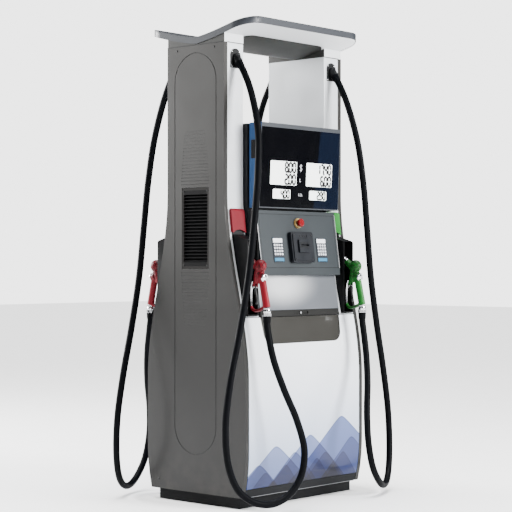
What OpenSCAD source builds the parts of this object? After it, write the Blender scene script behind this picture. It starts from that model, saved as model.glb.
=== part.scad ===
// Double-sided fuel dispenser with two columns, a gull-wing canopy and four hose points.
// Millimetres, +Z up, front face towards -Y, origin on the ground at the centre of the base.

/* [Cabinet] */
// Overall width over the two side panels
body_w = 889; // [830:1:1070]
// Depth over the side panels at the lower cabinet
body_d = 656; // [600:2:790]
// Depth of the columns and of the upper part of the side panels
upper_d = 380; // [360:2:420]
// Height of the column tops, where the canopy sits
column_top = 2220; // [2100:1:2670]
// Height above which the side panels are straight
flare_top = 1500; // [1440:1:1600]
// Height below which the side panels have their full depth
flare_bottom = 600; // [500:1:700]
// Thickness of a side panel
panel_t = 24; // [18:1:30]
// Thickness of the formed sheet-metal covers
sheet_t = 3; // [2:0.1:4]
// Gap between neighbouring covers
seam = 4; // [2:0.5:6]

/* [Base] */
// Width of the base frame
base_w = 841; // [700:1:860]
// Depth of the base frame
base_d = 534; // [440:1:560]
// Height of the base frame
base_h = 52; // [40:1:70]
// Radius of an anchor hole
anchor_r = 7; // [5:0.5:9]
// Distance from an anchor hole to the edges of the base frame
anchor_edge = 50; // [35:1:70]
// Width of the pipe opening
pipe_open_w = 300; // [200:1:360]
// Depth of the pipe opening
pipe_open_d = 200; // [150:1:260]

/* [Doors] */
// Height of the joint between the lower door and the upper half
split_z = 905; // [860:1:950]
// Height of the kick rail's top edge
kick_top = 95; // [80:1:120]
// Depth of the folded edges of a lower door
door_return = 25; // [15:1:40]
// Depth of the pressed panel below the shelf
pocket_step = 4; // [2:0.5:6]

/* [Head] */
// Width of the head between the columns
head_w = 600; // [520:1:620]
// Depth of the fixed head box
head_d = 416; // [380:1:430]
// Height of the display door's top
head_top = 1840; // [1780:1:1960]
// Height of the display door's lower edge
display_z = 1430; // [1425:1:1500]
// Distance from the centre plane to the display door's top front edge
display_front = 302; // [290:1:320]
// How far the display door leans back at its lower edge
display_lean = 17; // [0:1:30]
// Distance from the centre plane to the display door's rear edge
display_rear = 222; // [220:1:240]
// Radius of a display door hinge pin
hinge_r = 4; // [3:0.5:6]
// Running clearance round a pin
run_gap = 0.05; // [0.02:0.01:0.1]

/* [Console] */
// Distance from the centre plane to the console's top edge
console_top_y = 262; // [250:1:275]
// Distance from the centre plane to the console's lower edge
console_low_y = 300; // [285:1:315]
// Height where the sloping console face starts
console_low_z = 1140; // [1120:1:1170]
// Radius of the emergency stop's bore
estop_r = 11.2; // [8:0.1:15]
// Sideways distance from the centre to a keypad's centre
keypad_x = 165; // [150:1:200]

/* [Columns] */
// Gap between the head and a column
column_gap = 8; // [6:1:16]
// Width of a nozzle boot's box
boot_w = 76; // [70:1:92]
// Distance from the centre plane to the boot's front edge
boot_front = 303; // [280:1:310]
// Wall of a nozzle boot
boot_t = 4; // [3:0.5:6]
// Top of a nozzle boot
boot_top = 1304; // [1270:1:1320]

/* [Canopy] */
// Depth of the canopy
canopy_d = 680; // [600:2:820]
// Thickness of the canopy at its edge
canopy_t = 32; // [26:1:50]
// Rise of the canopy's tips above its middle
canopy_rise = 77; // [40:1:100]
// Corner radius of the canopy in plan
canopy_r = 100; // [60:1:120]

/* [Hoses] */
// Radius of a hose
hose_r = 16.5; // [12:0.5:17]

/* [Drive] */
// Radius of the motor pulleys
motor_pulley_r = 45; // [35:1:60]
// Radius of the pump pulleys
pump_pulley_r = 90; // [70:1:100]
// Height of the motor shaft
motor_z = 230; // [200:1:260]
// Height of the pump shafts
pump_z = 520; // [480:1:560]

/* [Hidden] */

$fn = 48;
floor_t = 3;
floor_z = base_h + floor_t;
tuck_z = 300;
tuck = 28;
column_in = head_w / 2 + column_gap;
column_out = body_w / 2 - panel_t - 0.5;
column_mid = (column_in + column_out) / 2;
column_z = split_z + 2;
deck_z = split_z - 12;
post = 25;
post_x = column_out - sheet_t - 2 - post / 2;
post_y = upper_d / 2 - sheet_t - 9.5 - post / 2;
half_base = [base_w / 2, base_d / 2];
tilt = atan((console_low_y - console_top_y) / (display_z - 20 - console_low_z));
console_top = display_z - 10;
console_base = console_low_z - 35;
shelf_top = console_base - 168;
apron_top_y = 268;
apron_low_y = 293;
outlet_z = column_top - 75;
vent_z = [1135, 1530];
vent_y = 90;
eps = 0.5;

// Hose centre line for the front right hose, from its outlet to the nozzle swivel.
hose_route = [
    [364, -212, 2125], [364, -240, 2085], [366, -290, 1985], [378, -348, 1790],
    [402, -368, 1580], [432, -370, 1340], [468, -367, 1090], [524, -363, 840],
    [584, -359, 610], [619, -362, 400], [612, -376, 225], [570, -403, 112],
    [500, -442, 56], [424, -478, 46], [346, -508, 80], [276, -524, 160],
    [246, -522, 280], [268, -496, 420], [320, -459, 570], [354, -424, 710],
    [364, -397, 840], [364, -391, 882], [364, -391, 913]
];

// ---- shared functions -------------------------------------------------------------

function smooth(t) = t * t * (3 - 2 * t);
function clamp01(t) = min(1, max(0, t));
// Half depth of the cabinet at a height: straight, flared, full, then tucked in.
function half_depth(z) =
    upper_d / 2
    + (body_d - upper_d) / 2 * smooth(clamp01((flare_top - z) / (flare_top - flare_bottom)))
    - (z < tuck_z ? tuck * pow((tuck_z - z) / (tuck_z - floor_z), 2.5) : 0);
function steps(a, b, n) = [for (i = [0:n]) a + (b - a) * i / n];
function flip(pts) = [for (i = [len(pts) - 1:-1:0]) pts[i]];
function front_edge(zs, inset) = [for (z = zs) [inset - half_depth(z), z]];
// Closed band between two depths behind the cabinet's front surface, as (y, z).
function band(zs, a, b) = concat(front_edge(zs, a), flip(front_edge(zs, b)));
// Closed outline of the whole cabinet seen from the side, as (y, z).
function outline(zs, inset) =
    concat(front_edge(zs, inset), flip([for (z = zs) [half_depth(z) - inset, z]]));
function canopy_z(y) = column_top + 38 + canopy_rise * pow(abs(y) / (canopy_d / 2), 1.3);
function arc(c, r, a0, a1, n) =
    [for (i = [0:n]) let (a = a0 + (a1 - a0) * i / n) [c[0] + r * cos(a), c[1] + r * sin(a)]];
function console_y(z) =
    -console_low_y + (console_low_y - console_top_y)
    * (z - console_low_z) / (display_z - 20 - console_low_z);
function display_y(z) =
    -display_front + display_lean * (head_top - z) / (head_top - display_z);
function unit(v) = v / norm(v);

// ---- shared modules ---------------------------------------------------------------

// Extrudes an outline given as (y, z) along X, from x0 over a length.
module along_x(x0, length) {
    translate([x0, 0, 0])
        rotate([90, 0, 90])
            linear_extrude(length)
                children();
}

// Extrudes an outline given as (x, z) along Y, from y0 over a length.
module along_y(y0, length) {
    translate([0, y0 + length, 0])
        rotate([90, 0, 0])
            linear_extrude(length)
                children();
}

module both_sides() {
    children();
    rotate([0, 0, 180])
        children();
}

module left_right() {
    children();
    mirror([1, 0, 0])
        children();
}

module four_corners() {
    left_right() {
        children();
        mirror([0, 1, 0])
            children();
    }
}

module slab(size) {
    translate([-size[0] / 2, -size[1] / 2, 0])
        cube(size);
}

// Flat plate with round corners, its underside on z = 0.
module round_plate(w, h, r, t) {
    linear_extrude(t)
        union() {
            square([w - 2 * r, h], center = true);
            square([w, h - 2 * r], center = true);
            for (x = [-1, 1], y = [-1, 1])
                translate([x * (w / 2 - r), y * (h / 2 - r)])
                    circle(r);
        }
}

// Places children on the sloping console face, with their own Z pointing outwards.
module on_console(x, z) {
    translate([x, console_y(z), z])
        rotate([90 - tilt, 0, 0])
            children();
}

// A round bar between two points given as (y, z), at x = 0.
module bar_yz(a, b, r) {
    v = b - a;
    translate([0, a[0], a[1]])
        rotate([-atan2(v[0], v[1]), 0, 0])
            cylinder(h = norm(v), r = r);
}

// ---- base and frame ---------------------------------------------------------------

module base_frame() {
    plate_t = 6;
    wall_t = 4;
    color([0.08, 0.09, 0.11])
        difference() {
            slab([base_w, base_d, base_h]);
            translate([0, 0, plate_t])
                slab([base_w - 2 * wall_t, base_d - 2 * wall_t, base_h]);
            translate([0, 0, -1])
                slab([pipe_open_w, pipe_open_d, plate_t + 2]);
            four_corners()
                translate([half_base[0] - anchor_edge, half_base[1] - anchor_edge, -1])
                    cylinder(h = plate_t + 2, r = anchor_r);
        }
}

module steel_frame() {
    beam_x = post_x - post / 2;
    floor_d = 2 * half_depth(floor_z) - 12;
    deck_d = 2 * half_depth(split_z) - 24;
    top_z = column_top - floor_t;
    color([0.45, 0.46, 0.48])
        difference() {
            union() {
                translate([0, 0, base_h])
                    slab([2 * column_out - seam, floor_d, floor_t]);
                translate([0, 0, deck_z])
                    slab([2 * column_out - seam, deck_d - 2 * door_return, floor_t]);
                four_corners() {
                    translate([post_x, post_y, floor_z - eps])
                        slab([post, post, top_z - floor_z + eps]);
                    translate([0, post_y - post / 2, deck_z - post])
                        cube([beam_x + eps, post, post + eps]);
                }
                left_right()
                    translate([post_x, 0, top_z - post])
                        slab([post, 2 * post_y, post]);
            }
            translate([0, 0, base_h - 1])
                slab([pipe_open_w, pipe_open_d, floor_t + 2]);
            four_corners()
                translate([column_mid, meter_y, deck_z - 1])
                    cylinder(h = floor_t + 2, r = pipe_r + 3);
        }
}

// ---- side panels ------------------------------------------------------------------

module stadium(half_w, z_low, z_high) {
    union() {
        translate([-half_w, z_low + half_w])
            square([2 * half_w, z_high - z_low - 2 * half_w]);
        translate([0, z_low + half_w])
            circle(half_w, $fn = 96);
        translate([0, z_high - half_w])
            circle(half_w, $fn = 96);
    }
}

module side_panel() {
    zs = concat(steps(floor_z, flare_top, 22), [column_top]);
    face = body_w / 2;
    groove = 1.6;
    stadium_w = 140;
    stadium_z = [237, column_top - 37];
    rib_pitch = 16;
    color([0.40, 0.39, 0.37])
        difference() {
            along_x(face - panel_t, panel_t)
                polygon(outline(zs, 0));
            along_x(face - panel_t - 1, panel_t + 1 - sheet_t)
                polygon(outline(concat(steps(floor_z + sheet_t, flare_top, 22),
                    [column_top - sheet_t]), sheet_t));
            along_x(face - panel_t, panel_t + 1)
                translate([-vent_y, vent_z[0]])
                    square([2 * vent_y, vent_z[1] - vent_z[0]]);
            difference() {
                along_x(face - groove, groove + 1)
                    stadium(stadium_w, stadium_z[0], stadium_z[1]);
                along_x(face - groove - 1, groove + 3)
                    stadium(stadium_w - 4, stadium_z[0] + 4, stadium_z[1] - 4);
            }
            // Pressed lines that fade away above and below the vent.
            for (i = [0:16]) {
                reach = vent_y + 5 - i * 1.5;
                depth = 1.2 - i * 0.05;
                for (z = [vent_z[1] + 14 + i * rib_pitch, vent_z[0] - 18 - i * rib_pitch])
                    translate([face - depth, -reach, z])
                        cube([depth + 1, 2 * reach, 4]);
            }
        }
}

module side_panel_left() {
    mirror([1, 0, 0])
        side_panel();
}

module side_panel_right() {
    side_panel();
}

module vent_grille() {
    fit = 0.4;
    border = 10;
    rail = 34;
    depth = 16;
    face = body_w / 2 - 1;
    blades = 20;
    blade_t = 3;
    z_low = vent_z[0] + rail;
    pitch = (vent_z[1] - vent_z[0] - 2 * rail) / blades;
    difference() {
        translate([face - depth, -vent_y + fit, vent_z[0] + fit])
            cube([depth, 2 * (vent_y - fit), vent_z[1] - vent_z[0] - 2 * fit]);
        translate([face - depth - 1, -vent_y + border, z_low])
            cube([depth + 2, 2 * (vent_y - border), vent_z[1] - vent_z[0] - 2 * rail]);
    }
    for (i = [0:blades - 1])
        along_y(-vent_y + border - eps, 2 * (vent_y - border + eps))
            translate([face - 2, z_low + (i + 0.5) * pitch])
                polygon([[0, -pitch / 3], [0, -pitch / 3 + blade_t],
                    [4 - depth, pitch / 4 + blade_t], [4 - depth, pitch / 4]]);
}

module vent_grilles() {
    color([0.10, 0.10, 0.11])
        left_right()
            vent_grille();
}

// ---- columns ----------------------------------------------------------------------

module column() {
    n = 12;
    inset = 2;
    zs = concat(steps(column_z, flare_top, n), [column_top]);
    zi = concat(steps(column_z + sheet_t, flare_top, n), [column_top - sheet_t]);
    width = column_out - column_in;
    color([0.86, 0.87, 0.88])
        difference() {
            along_x(column_in, width)
                polygon(outline(zs, inset));
            along_x(column_in + sheet_t, width - 2 * sheet_t)
                polygon(outline(zi, inset + sheet_t));
            // Boot openings in the front and rear walls, an open bottom and the hose holes.
            translate([column_mid, 0, boot_base - 1])
                slab([boot_w + 2, body_d, boot_top - boot_base + 2]);
            translate([column_mid, 0, column_z - 1])
                slab([width - 2 * sheet_t, 2 * post_y + post + 4, sheet_t + 2]);
            translate([column_mid, upper_d / 2 + 1, outlet_z])
                rotate([90, 0, 0])
                    cylinder(h = upper_d + 2, r = pipe_r + 1);
        }
}

module column_left() {
    mirror([1, 0, 0])
        column();
}

module column_right() {
    column();
}

boot_base = column_z + 5;
boot_back = upper_d / 2 - 10;

// Deep box, open at the front, with a rim that lies on the column round its opening.
module nozzle_boot() {
    rim = 5;
    rim_t = 2.5;
    r = 14;
    fall = 26;
    zs = steps(boot_base - 2, boot_top + rim, 8);
    window = boot_w - 2 * boot_t;
    difference() {
        union() {
            along_x(column_mid - boot_w / 2 - rim, boot_w + 2 * rim)
                polygon(band(zs, 1.4 - rim_t, 1.4));
            along_x(column_mid - boot_w / 2, boot_w)
                polygon(concat([[-boot_back, boot_base], [-boot_front, boot_base]],
                    arc([r - boot_front, boot_top - fall - r], r, 180, 105, 5),
                    [[-upper_d / 2 - 10, boot_top], [-boot_back, boot_top]]));
        }
        translate([column_mid - window / 2, -boot_front - 40, boot_base + boot_t + 2])
            cube([window, boot_front + 40 - boot_back - boot_t,
                boot_top - fall - boot_base - 2 * boot_t - 2]);
    }
}

module nozzle_boots_front() {
    color([0.09, 0.10, 0.11])
        left_right()
            nozzle_boot();
}

module nozzle_boots_rear() {
    mirror([0, 1, 0])
        nozzle_boots_front();
}

// Shallow cover plate in the grade colour, with cut corners and an arched mouth below.
module grade_cap() {
    z = [boot_top + 7, boot_top + 121];
    w = boot_w + 18;
    proud = 13;
    cut = 7;
    zs = steps(z[0], z[1], 6);
    intersection() {
        along_x(column_mid - w / 2, w)
            polygon(concat(front_edge(zs, 1.4),
                flip(concat(front_edge(steps(z[0], z[1] - 8, 5), -proud),
                    [[-half_depth(z[1]) - proud + 6, z[1]]]))));
        along_y(-body_d / 2, body_d / 2)
            difference() {
                translate([column_mid, 0])
                    polygon([[-w / 2, z[0]], [-w / 2, z[1] - cut], [cut - w / 2, z[1]],
                        [w / 2 - cut, z[1]], [w / 2, z[1] - cut], [w / 2, z[0]]]);
                translate([column_mid, z[0] - 16])
                    polygon([for (p = arc([0, 0], w / 2 + 2, 180, 0, 14)) [p[0], 0.6 * p[1]]]);
            }
    }
}

module grade_caps_red() {
    color([0.72, 0.17, 0.25])
        mirror([1, 0, 0]) {
            grade_cap();
            mirror([0, 1, 0])
                grade_cap();
        }
}

module grade_caps_green() {
    color([0.18, 0.54, 0.23]) {
        grade_cap();
        mirror([0, 1, 0])
            grade_cap();
    }
}

// Arch plate with an elbow that turns the hose forwards and down.
module hose_outlet() {
    way = unit(hose_route[1] - hose_route[0]);
    run = 28;
    exit = [hose_route[0][1], outlet_z - 20];
    knuckle = exit - run * [way[1], way[2]];
    wall_y = -upper_d / 2 + 2;
    plate_w = 70;
    plate_t = 4;
    along_y(wall_y - plate_t, plate_t)
        union() {
            translate([column_mid - plate_w / 2, outlet_z - 45])
                square([plate_w, 58]);
            translate([column_mid, outlet_z + 13])
                circle(plate_w / 2);
        }
    difference() {
        translate([column_mid, 0, 0]) {
            translate([0, knuckle[0], knuckle[1]]) {
                rotate([-90, 0, 0])
                    cylinder(h = wall_y - knuckle[0], r = 22);
                sphere(22.3);
            }
            bar_yz(exit, knuckle, 21);
        }
        translate([column_mid - plate_w / 2, wall_y, outlet_z - plate_w])
            cube([plate_w, 60, 2 * plate_w]);
    }
}

module hose_outlets() {
    color([0.10, 0.10, 0.11])
        four_corners()
            hose_outlet();
}

// ---- canopy -----------------------------------------------------------------------

function canopy_top_edge(n, drop, half) =
    [for (y = steps(-half, half, n)) [y, canopy_z(y) - drop]];

module canopy_prism(w, half, top_drop, low_drop) {
    n = 24;
    along_x(-w / 2, w)
        polygon(concat(canopy_top_edge(n, top_drop, half),
            flip(canopy_top_edge(n, low_drop, half))));
}

module canopy_plan(inset, z, h) {
    translate([0, 0, z])
        round_plate(body_w - 2 * inset, canopy_d - 2 * inset, canopy_r - inset, h);
}

module canopy_top() {
    tall = canopy_rise + 200;
    color([0.38, 0.39, 0.41])
        difference() {
            intersection() {
                canopy_prism(body_w, canopy_d / 2, 0, canopy_t);
                canopy_plan(0, column_top - 20, tall);
            }
            intersection() {
                canopy_prism(body_w, canopy_d / 2, sheet_t, canopy_t + 40);
                canopy_plan(sheet_t, column_top - 30, tall + 20);
            }
        }
}

module canopy_underside() {
    tall = canopy_rise + 200;
    gap = 0.3;
    color([0.80, 0.81, 0.82])
        union() {
            intersection() {
                canopy_prism(body_w, canopy_d / 2, canopy_t - 6, canopy_t - 1);
                canopy_plan(sheet_t + gap, column_top - 20, tall);
            }
            left_right()
                along_x(column_in, body_w / 2 - column_in - sheet_t - gap)
                    polygon(concat([[-upper_d / 2, column_top]],
                        canopy_top_edge(10, canopy_t - 2, upper_d / 2),
                        [[upper_d / 2, column_top]]));
        }
}

module canopy_liner() {
    half = upper_d / 2 + 18;
    w = 2 * column_in - 10;
    color([0.30, 0.30, 0.27])
        intersection() {
            canopy_prism(w, half, canopy_t - 0.7, canopy_t + 4);
            translate([0, 0, column_top - 20])
                round_plate(w, 2 * half, 60, canopy_rise + 60);
        }
}

// ---- head -------------------------------------------------------------------------

hinge_x = head_w / 2 - 10;
hinge_y = display_rear + 8;

// Arm from the head box out to the hinge line of the display door.
module hinge_arm(z, t) {
    translate([hinge_x - 12, -hinge_y - 12, z])
        cube([24, hinge_y + 12 - head_d / 2 + 20, t]);
}

module head_box() {
    z0 = deck_z + floor_t + 1;
    z1 = head_top - 2;
    arm_t = 4;
    lift = 1;
    color([0.12, 0.13, 0.15]) {
        difference() {
            translate([0, 0, z0])
                slab([head_w, head_d, z1 - z0]);
            translate([0, 0, z0 + sheet_t])
                slab([head_w - 2 * sheet_t, head_d - 2 * sheet_t, z1 - z0 - 2 * sheet_t]);
        }
        both_sides() {
            // Upper and lower arms, each with a pivot pin for the display door.
            hinge_arm(head_top + lift, arm_t);
            translate([hinge_x - 12, -head_d / 2, z1 - eps])
                cube([24, 20, head_top + lift - z1 + 2 * eps]);
            hinge_arm(display_z - lift - arm_t, arm_t);
            translate([hinge_x, -hinge_y, head_top - sheet_t])
                cylinder(h = sheet_t + lift + eps, r = hinge_r);
            translate([hinge_x, -hinge_y, display_z - lift - eps])
                cylinder(h = sheet_t + lift + eps, r = hinge_r);
        }
    }
}

// Folded shell behind the sloping face, open at the back.
module console_shell() {
    w = head_w - 4;
    back = -head_d / 2 - 0.5;
    t = sheet_t;
    color([0.37, 0.40, 0.43])
        difference() {
            along_x(-w / 2, w)
                polygon([[back, console_base], [-console_low_y - 2, console_base],
                    [console_y(console_low_z), console_low_z],
                    [console_y(console_top), console_top], [back, console_top]]);
            along_x(-w / 2 + t, w - 2 * t)
                polygon([[back + 1, console_base + t], [t - console_low_y - 2, console_base + t],
                    [console_y(console_low_z) + t, console_low_z],
                    [console_y(console_top) + t, console_top - t], [back + 1, console_top - t]]);
            on_console(0, estop_z)
                translate([0, 0, -10])
                    cylinder(h = 20, r = estop_r);
        }
}

module console_front() {
    console_shell();
}

module console_rear() {
    rotate([0, 0, 180])
        console_shell();
}

module keypad() {
    w = 76;
    h = 122;
    key = [14, 11];
    pitch = [17, 15];
    round_plate(w, h, 4, 2.5);
    translate([0, 46, 2.5])
        round_plate(w - 10, 20, 2, 0.8);
    for (i = [0:3], j = [0:3])
        translate([(i - 1.5) * pitch[0], 24 - j * pitch[1], 2.5])
            slab([key[0], key[1], 1.2]);
    translate([0, -47, 2.5])
        round_plate(w - 10, 14, 2, 0.8);
}

module keypads() {
    color([0.80, 0.82, 0.84])
        both_sides()
            for (x = [-keypad_x, keypad_x])
                on_console(x, keypad_z)
                    keypad();
}

module card_reader() {
    w = 165;
    h = 152;
    difference() {
        union() {
            round_plate(w, h, 12, 22);
            round_plate(w - 16, h - 16, 8, 27);
            translate([0, 4, 27])
                round_plate(86, 66, 8, 10);
        }
        // Card slot, and the recess for the status lamps above it.
        translate([0, 8, 22])
            slab([62, 8, 20]);
        translate([0, 54, 25])
            round_plate(60, 16, 3, 5);
    }
}

module card_readers() {
    color([0.12, 0.14, 0.17])
        both_sides()
            on_console(0, keypad_z + 12)
                card_reader();
}

module aprons() {
    w = head_w - 4;
    back = -head_d / 2 - 0.5;
    t = sheet_t;
    color([0.80, 0.81, 0.82])
        both_sides()
            difference() {
                along_x(-w / 2, w)
                    polygon([[back, shelf_top], [-apron_low_y, shelf_top],
                        [-apron_top_y, console_base - 1], [back, console_base - 1]]);
                along_x(-w / 2 + t, w - 2 * t)
                    polygon([[back + 1, shelf_top + t], [t - apron_low_y, shelf_top + t],
                        [t - apron_top_y, console_base - 1 - t],
                        [back + 1, console_base - 1 - t]]);
            }
}

module shelves() {
    w = head_w - 4;
    back = -head_d / 2 - 0.5;
    z = [split_z + 1, shelf_top - 0.5];
    front = -half_depth(split_z) - 4;
    color([0.36, 0.36, 0.34])
        both_sides()
            difference() {
                along_x(-w / 2, w)
                    polygon([[back, z[0]], [front, z[0]], [front + 3, z[1]], [back, z[1]]]);
                along_x(-w / 2 + sheet_t, w - 2 * sheet_t)
                    polygon([[back + 1, z[0] + sheet_t], [front + 12, z[0] + sheet_t],
                        [front + 12, z[1] - sheet_t], [back + 1, z[1] - sheet_t]]);
                // Oblong finger recess round the lock.
                translate([0, front + 7, lock_z])
                    rotate([90, 0, 0])
                        round_plate(112, 15, 7, 12);
                translate([0, front, lock_z])
                    rotate([-90, 0, 0])
                        cylinder(h = 30, r = lock_r + run_gap);
            }
}

lock_z = (split_z + shelf_top) / 2;
lock_r = 5.5;

module door_lock_front() {
    front = -half_depth(split_z) - 4;
    cam = [18, 2, 7];
    color([0.75, 0.76, 0.78]) {
        difference() {
            translate([0, front + 2, lock_z])
                rotate([-90, 0, 0])
                    cylinder(h = 18, r = lock_r);
            translate([0, front + 2, lock_z])
                slab([1.6, 3, 6]);
        }
        translate([0, front + 20 + cam[1] / 2, lock_z - cam[2] / 2])
            slab(cam);
    }
}

module door_lock_rear() {
    rotate([0, 0, 180])
        door_lock_front();
}

module kick_rails() {
    zs = steps(floor_z + 1, kick_top - 2, 4);
    w = 2 * column_out - seam;
    color([0.17, 0.19, 0.21])
        both_sides() {
            along_x(-w / 2, w)
                polygon(band(zs, 1, 1 + sheet_t));
            along_x(-w / 2, w)
                polygon([[1 + sheet_t - half_depth(kick_top - 2), kick_top - 2 - sheet_t],
                    [1 + sheet_t - half_depth(kick_top - 2), kick_top - 2],
                    [door_return - half_depth(kick_top), kick_top - 2],
                    [door_return - half_depth(kick_top), kick_top - 2 - sheet_t]]);
        }
}

// ---- lower doors ------------------------------------------------------------------

// Outline of the pressed panel under the shelf as (x, z), wider at the top.
function pocket_outline(grow) =
    let (r = 50, x = head_w / 2 - 12 + grow, z = split_z - 130 - grow)
    concat([[-x - 14, split_z + 20]], arc([r - x, z + r], r, 180, 270, 8),
        arc([x - r, z + r], r, 270, 360, 8), [[x + 14, split_z + 20]]);

module lower_door() {
    w = 2 * column_out - seam;
    z = [kick_top, split_z - 2];
    n = 18;
    zs = steps(z[0], z[1], n);
    zi = steps(z[0] + sheet_t, z[1] - sheet_t, n);
    color([0.86, 0.88, 0.90]) {
        difference() {
            along_x(-w / 2, w)
                polygon(band(zs, 0, door_return));
            along_x(-w / 2 + sheet_t, w - 2 * sheet_t)
                polygon(band(zi, sheet_t, door_return + 5));
            along_y(-body_d / 2 - 5, body_d / 2)
                polygon(pocket_outline(0));
        }
        intersection() {
            along_x(-w / 2 + sheet_t + 1, w - 2 * sheet_t - 2)
                polygon(band(steps(z[1] - 145, z[1], 6), pocket_step, pocket_step + sheet_t));
            along_y(-body_d / 2 - 5, body_d / 2)
                polygon(pocket_outline(6));
        }
        intersection() {
            along_x(-w / 2 + sheet_t + 1, w - 2 * sheet_t - 2)
                polygon(band(steps(z[1] - 145, z[1], 6), sheet_t - 0.2, pocket_step + 1));
            difference() {
                along_y(-body_d / 2 - 5, body_d / 2)
                    polygon(pocket_outline(6));
                along_y(-body_d / 2 - 6, body_d / 2 + 2)
                    polygon(pocket_outline(0));
            }
        }
    }
}

module lower_door_front() {
    lower_door();
}

module lower_door_rear() {
    rotate([0, 0, 180])
        lower_door();
}

// ---- display doors ----------------------------------------------------------------

// Slanted band behind the display face as (y, z), from one depth to another.
function face_band(z0, z1, a, b) =
    [[display_y(z0) + a, z0], [display_y(z1) + a, z1],
        [display_y(z1) + b, z1], [display_y(z0) + b, z0]];

glass_t = 4;
glass_z = [display_z + 5, head_top - 20];
glass_lip = 6;

module display_door() {
    w = head_w;
    t = sheet_t;
    color([0.10, 0.27, 0.42])
        difference() {
            along_x(-w / 2, w)
                polygon([[-display_rear, display_z], [display_y(display_z), display_z],
                    [display_y(head_top), head_top], [-display_rear, head_top]]);
            along_x(-w / 2 + t, w - 2 * t)
                polygon([[1 - display_rear, display_z + t],
                    [display_y(display_z + t) + glass_t + t, display_z + t],
                    [display_y(head_top - t) + glass_t + t, head_top - t],
                    [1 - display_rear, head_top - t]]);
            along_x(-w / 2 + t, w - 2 * t)
                polygon(face_band(glass_z[0], glass_z[1], -5, glass_t));
            along_x(-w / 2 + t + glass_lip, w - 2 * (t + glass_lip))
                polygon(face_band(glass_z[0] + glass_lip, glass_z[1] - glass_lip, -5, 15));
            translate([hinge_x, -hinge_y, display_z - 1])
                cylinder(h = head_top - display_z + 2, r = hinge_r + run_gap);
        }
}

module display_door_front() {
    display_door();
}

module display_door_rear() {
    rotate([0, 0, 180])
        display_door();
}

module display_glass_front() {
    fit = 0.3;
    w = head_w - 2 * (sheet_t + fit);
    color([0.05, 0.06, 0.08])
        along_x(-w / 2, w)
            polygon(face_band(glass_z[0] + fit, glass_z[1] - fit, 0.2, glass_t));
}

module display_glass_rear() {
    rotate([0, 0, 180])
        display_glass_front();
}

module lcd_modules_front() {
    z = [display_z + 38, display_z + 238];
    board_w = 510;
    color([0.70, 0.75, 0.72]) {
        along_x(-board_w / 2, board_w)
            polygon(face_band(z[0], z[1], glass_t + 8, glass_t + 11));
        for (x = [-140, 140]) {
            along_x(x - 106, 212)
                polygon(face_band(z[0] + 74, z[1] - 4, glass_t, glass_t + 8.2));
            along_x(x - 74, 148)
                polygon(face_band(z[0] + 6, z[0] + 58, glass_t, glass_t + 8.2));
        }
    }
}

module lcd_modules_rear() {
    rotate([0, 0, 180])
        lcd_modules_front();
}

// ---- emergency stops --------------------------------------------------------------

estop_z = 1360;
keypad_z = 1228;

module estop_collars() {
    color([0.85, 0.78, 0.35])
        both_sides()
            on_console(0, estop_z)
                difference() {
                    cylinder(h = 8, r = 25);
                    translate([0, 0, -1])
                        cylinder(h = 10, r = estop_r - 1);
                }
}

module estop_button() {
    stem_r = estop_r - 2.2;
    color([0.70, 0.08, 0.10])
        on_console(0, estop_z) {
            translate([0, 0, -14])
                cylinder(h = 30, r = stem_r);
            translate([0, 0, 14])
                cylinder(h = 8, r1 = 16, r2 = 20);
            translate([0, 0, 22])
                cylinder(h = 7, r = 20);
            translate([0, 0, 29])
                cylinder(h = 4, r1 = 20, r2 = 15);
        }
}

module estop_button_front() {
    estop_button();
}

module estop_button_rear() {
    rotate([0, 0, 180])
        estop_button();
}

// ---- nozzles ----------------------------------------------------------------------

// Places a nozzle piece drawn at x = 0 for the front on one of the four hose points.
module at_point(side, face) {
    scale([side, -face, 1])
        translate([column_mid, 0, 0])
            children();
}

lever_pin = [-316, 1050];
lever_pin_r = 3;
grip_low = [-390, 957];
grip_high = [-367, 1066];
spout_root = [-318, 1152];
spout_bend = [-272, 1192];
spout_tip = [-206, 1240];

// Cast body with grip, hand guard, round head and the ears that hold the lever.
module nozzle_body() {
    body_t = 44;
    guard_t = 16;
    ear_t = 5;
    bar_yz(grip_low, grip_high, 17);
    along_x(-body_t / 2, body_t)
        polygon(concat([[-300, 1076]], arc([-318, 1159], 18, 0, 90, 4),
            arc([-352, 1150], 27, 100, 180, 5), [[-375, 1118], [-375, 1080]],
            [[-362, 1062], [-312, 1062]]));
    translate([0, -357, 1150])
        sphere(27);
    bar_yz(spout_root + [-4, -3], spout_root + [24, 21], 16);
    along_x(-guard_t / 2, guard_t)
        polygon(concat([[-300, 1066], [-300, 1090], [-286, 1084]],
            arc([-295, 962], 12, 0, -100, 5), [[-371, 936], [-371, 954], [-379, 957.5]],
            [[-377, 968], [-364, 961], [-345, 947]], arc([-303, 968], 10, -80, 0, 4), [[-294, 1058]]));
    for (x = [-7 - ear_t, 7])
        translate([x, 0, 0])
            difference() {
                along_x(0, ear_t)
                    polygon(concat([[-308, 1064], [-324, 1064]],
                        arc(lever_pin, 8, 180, 360, 8)));
                translate([-1, lever_pin[0], lever_pin[1]])
                    rotate([0, 90, 0])
                        cylinder(h = ear_t + 2, r = lever_pin_r);
            }
}

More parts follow.
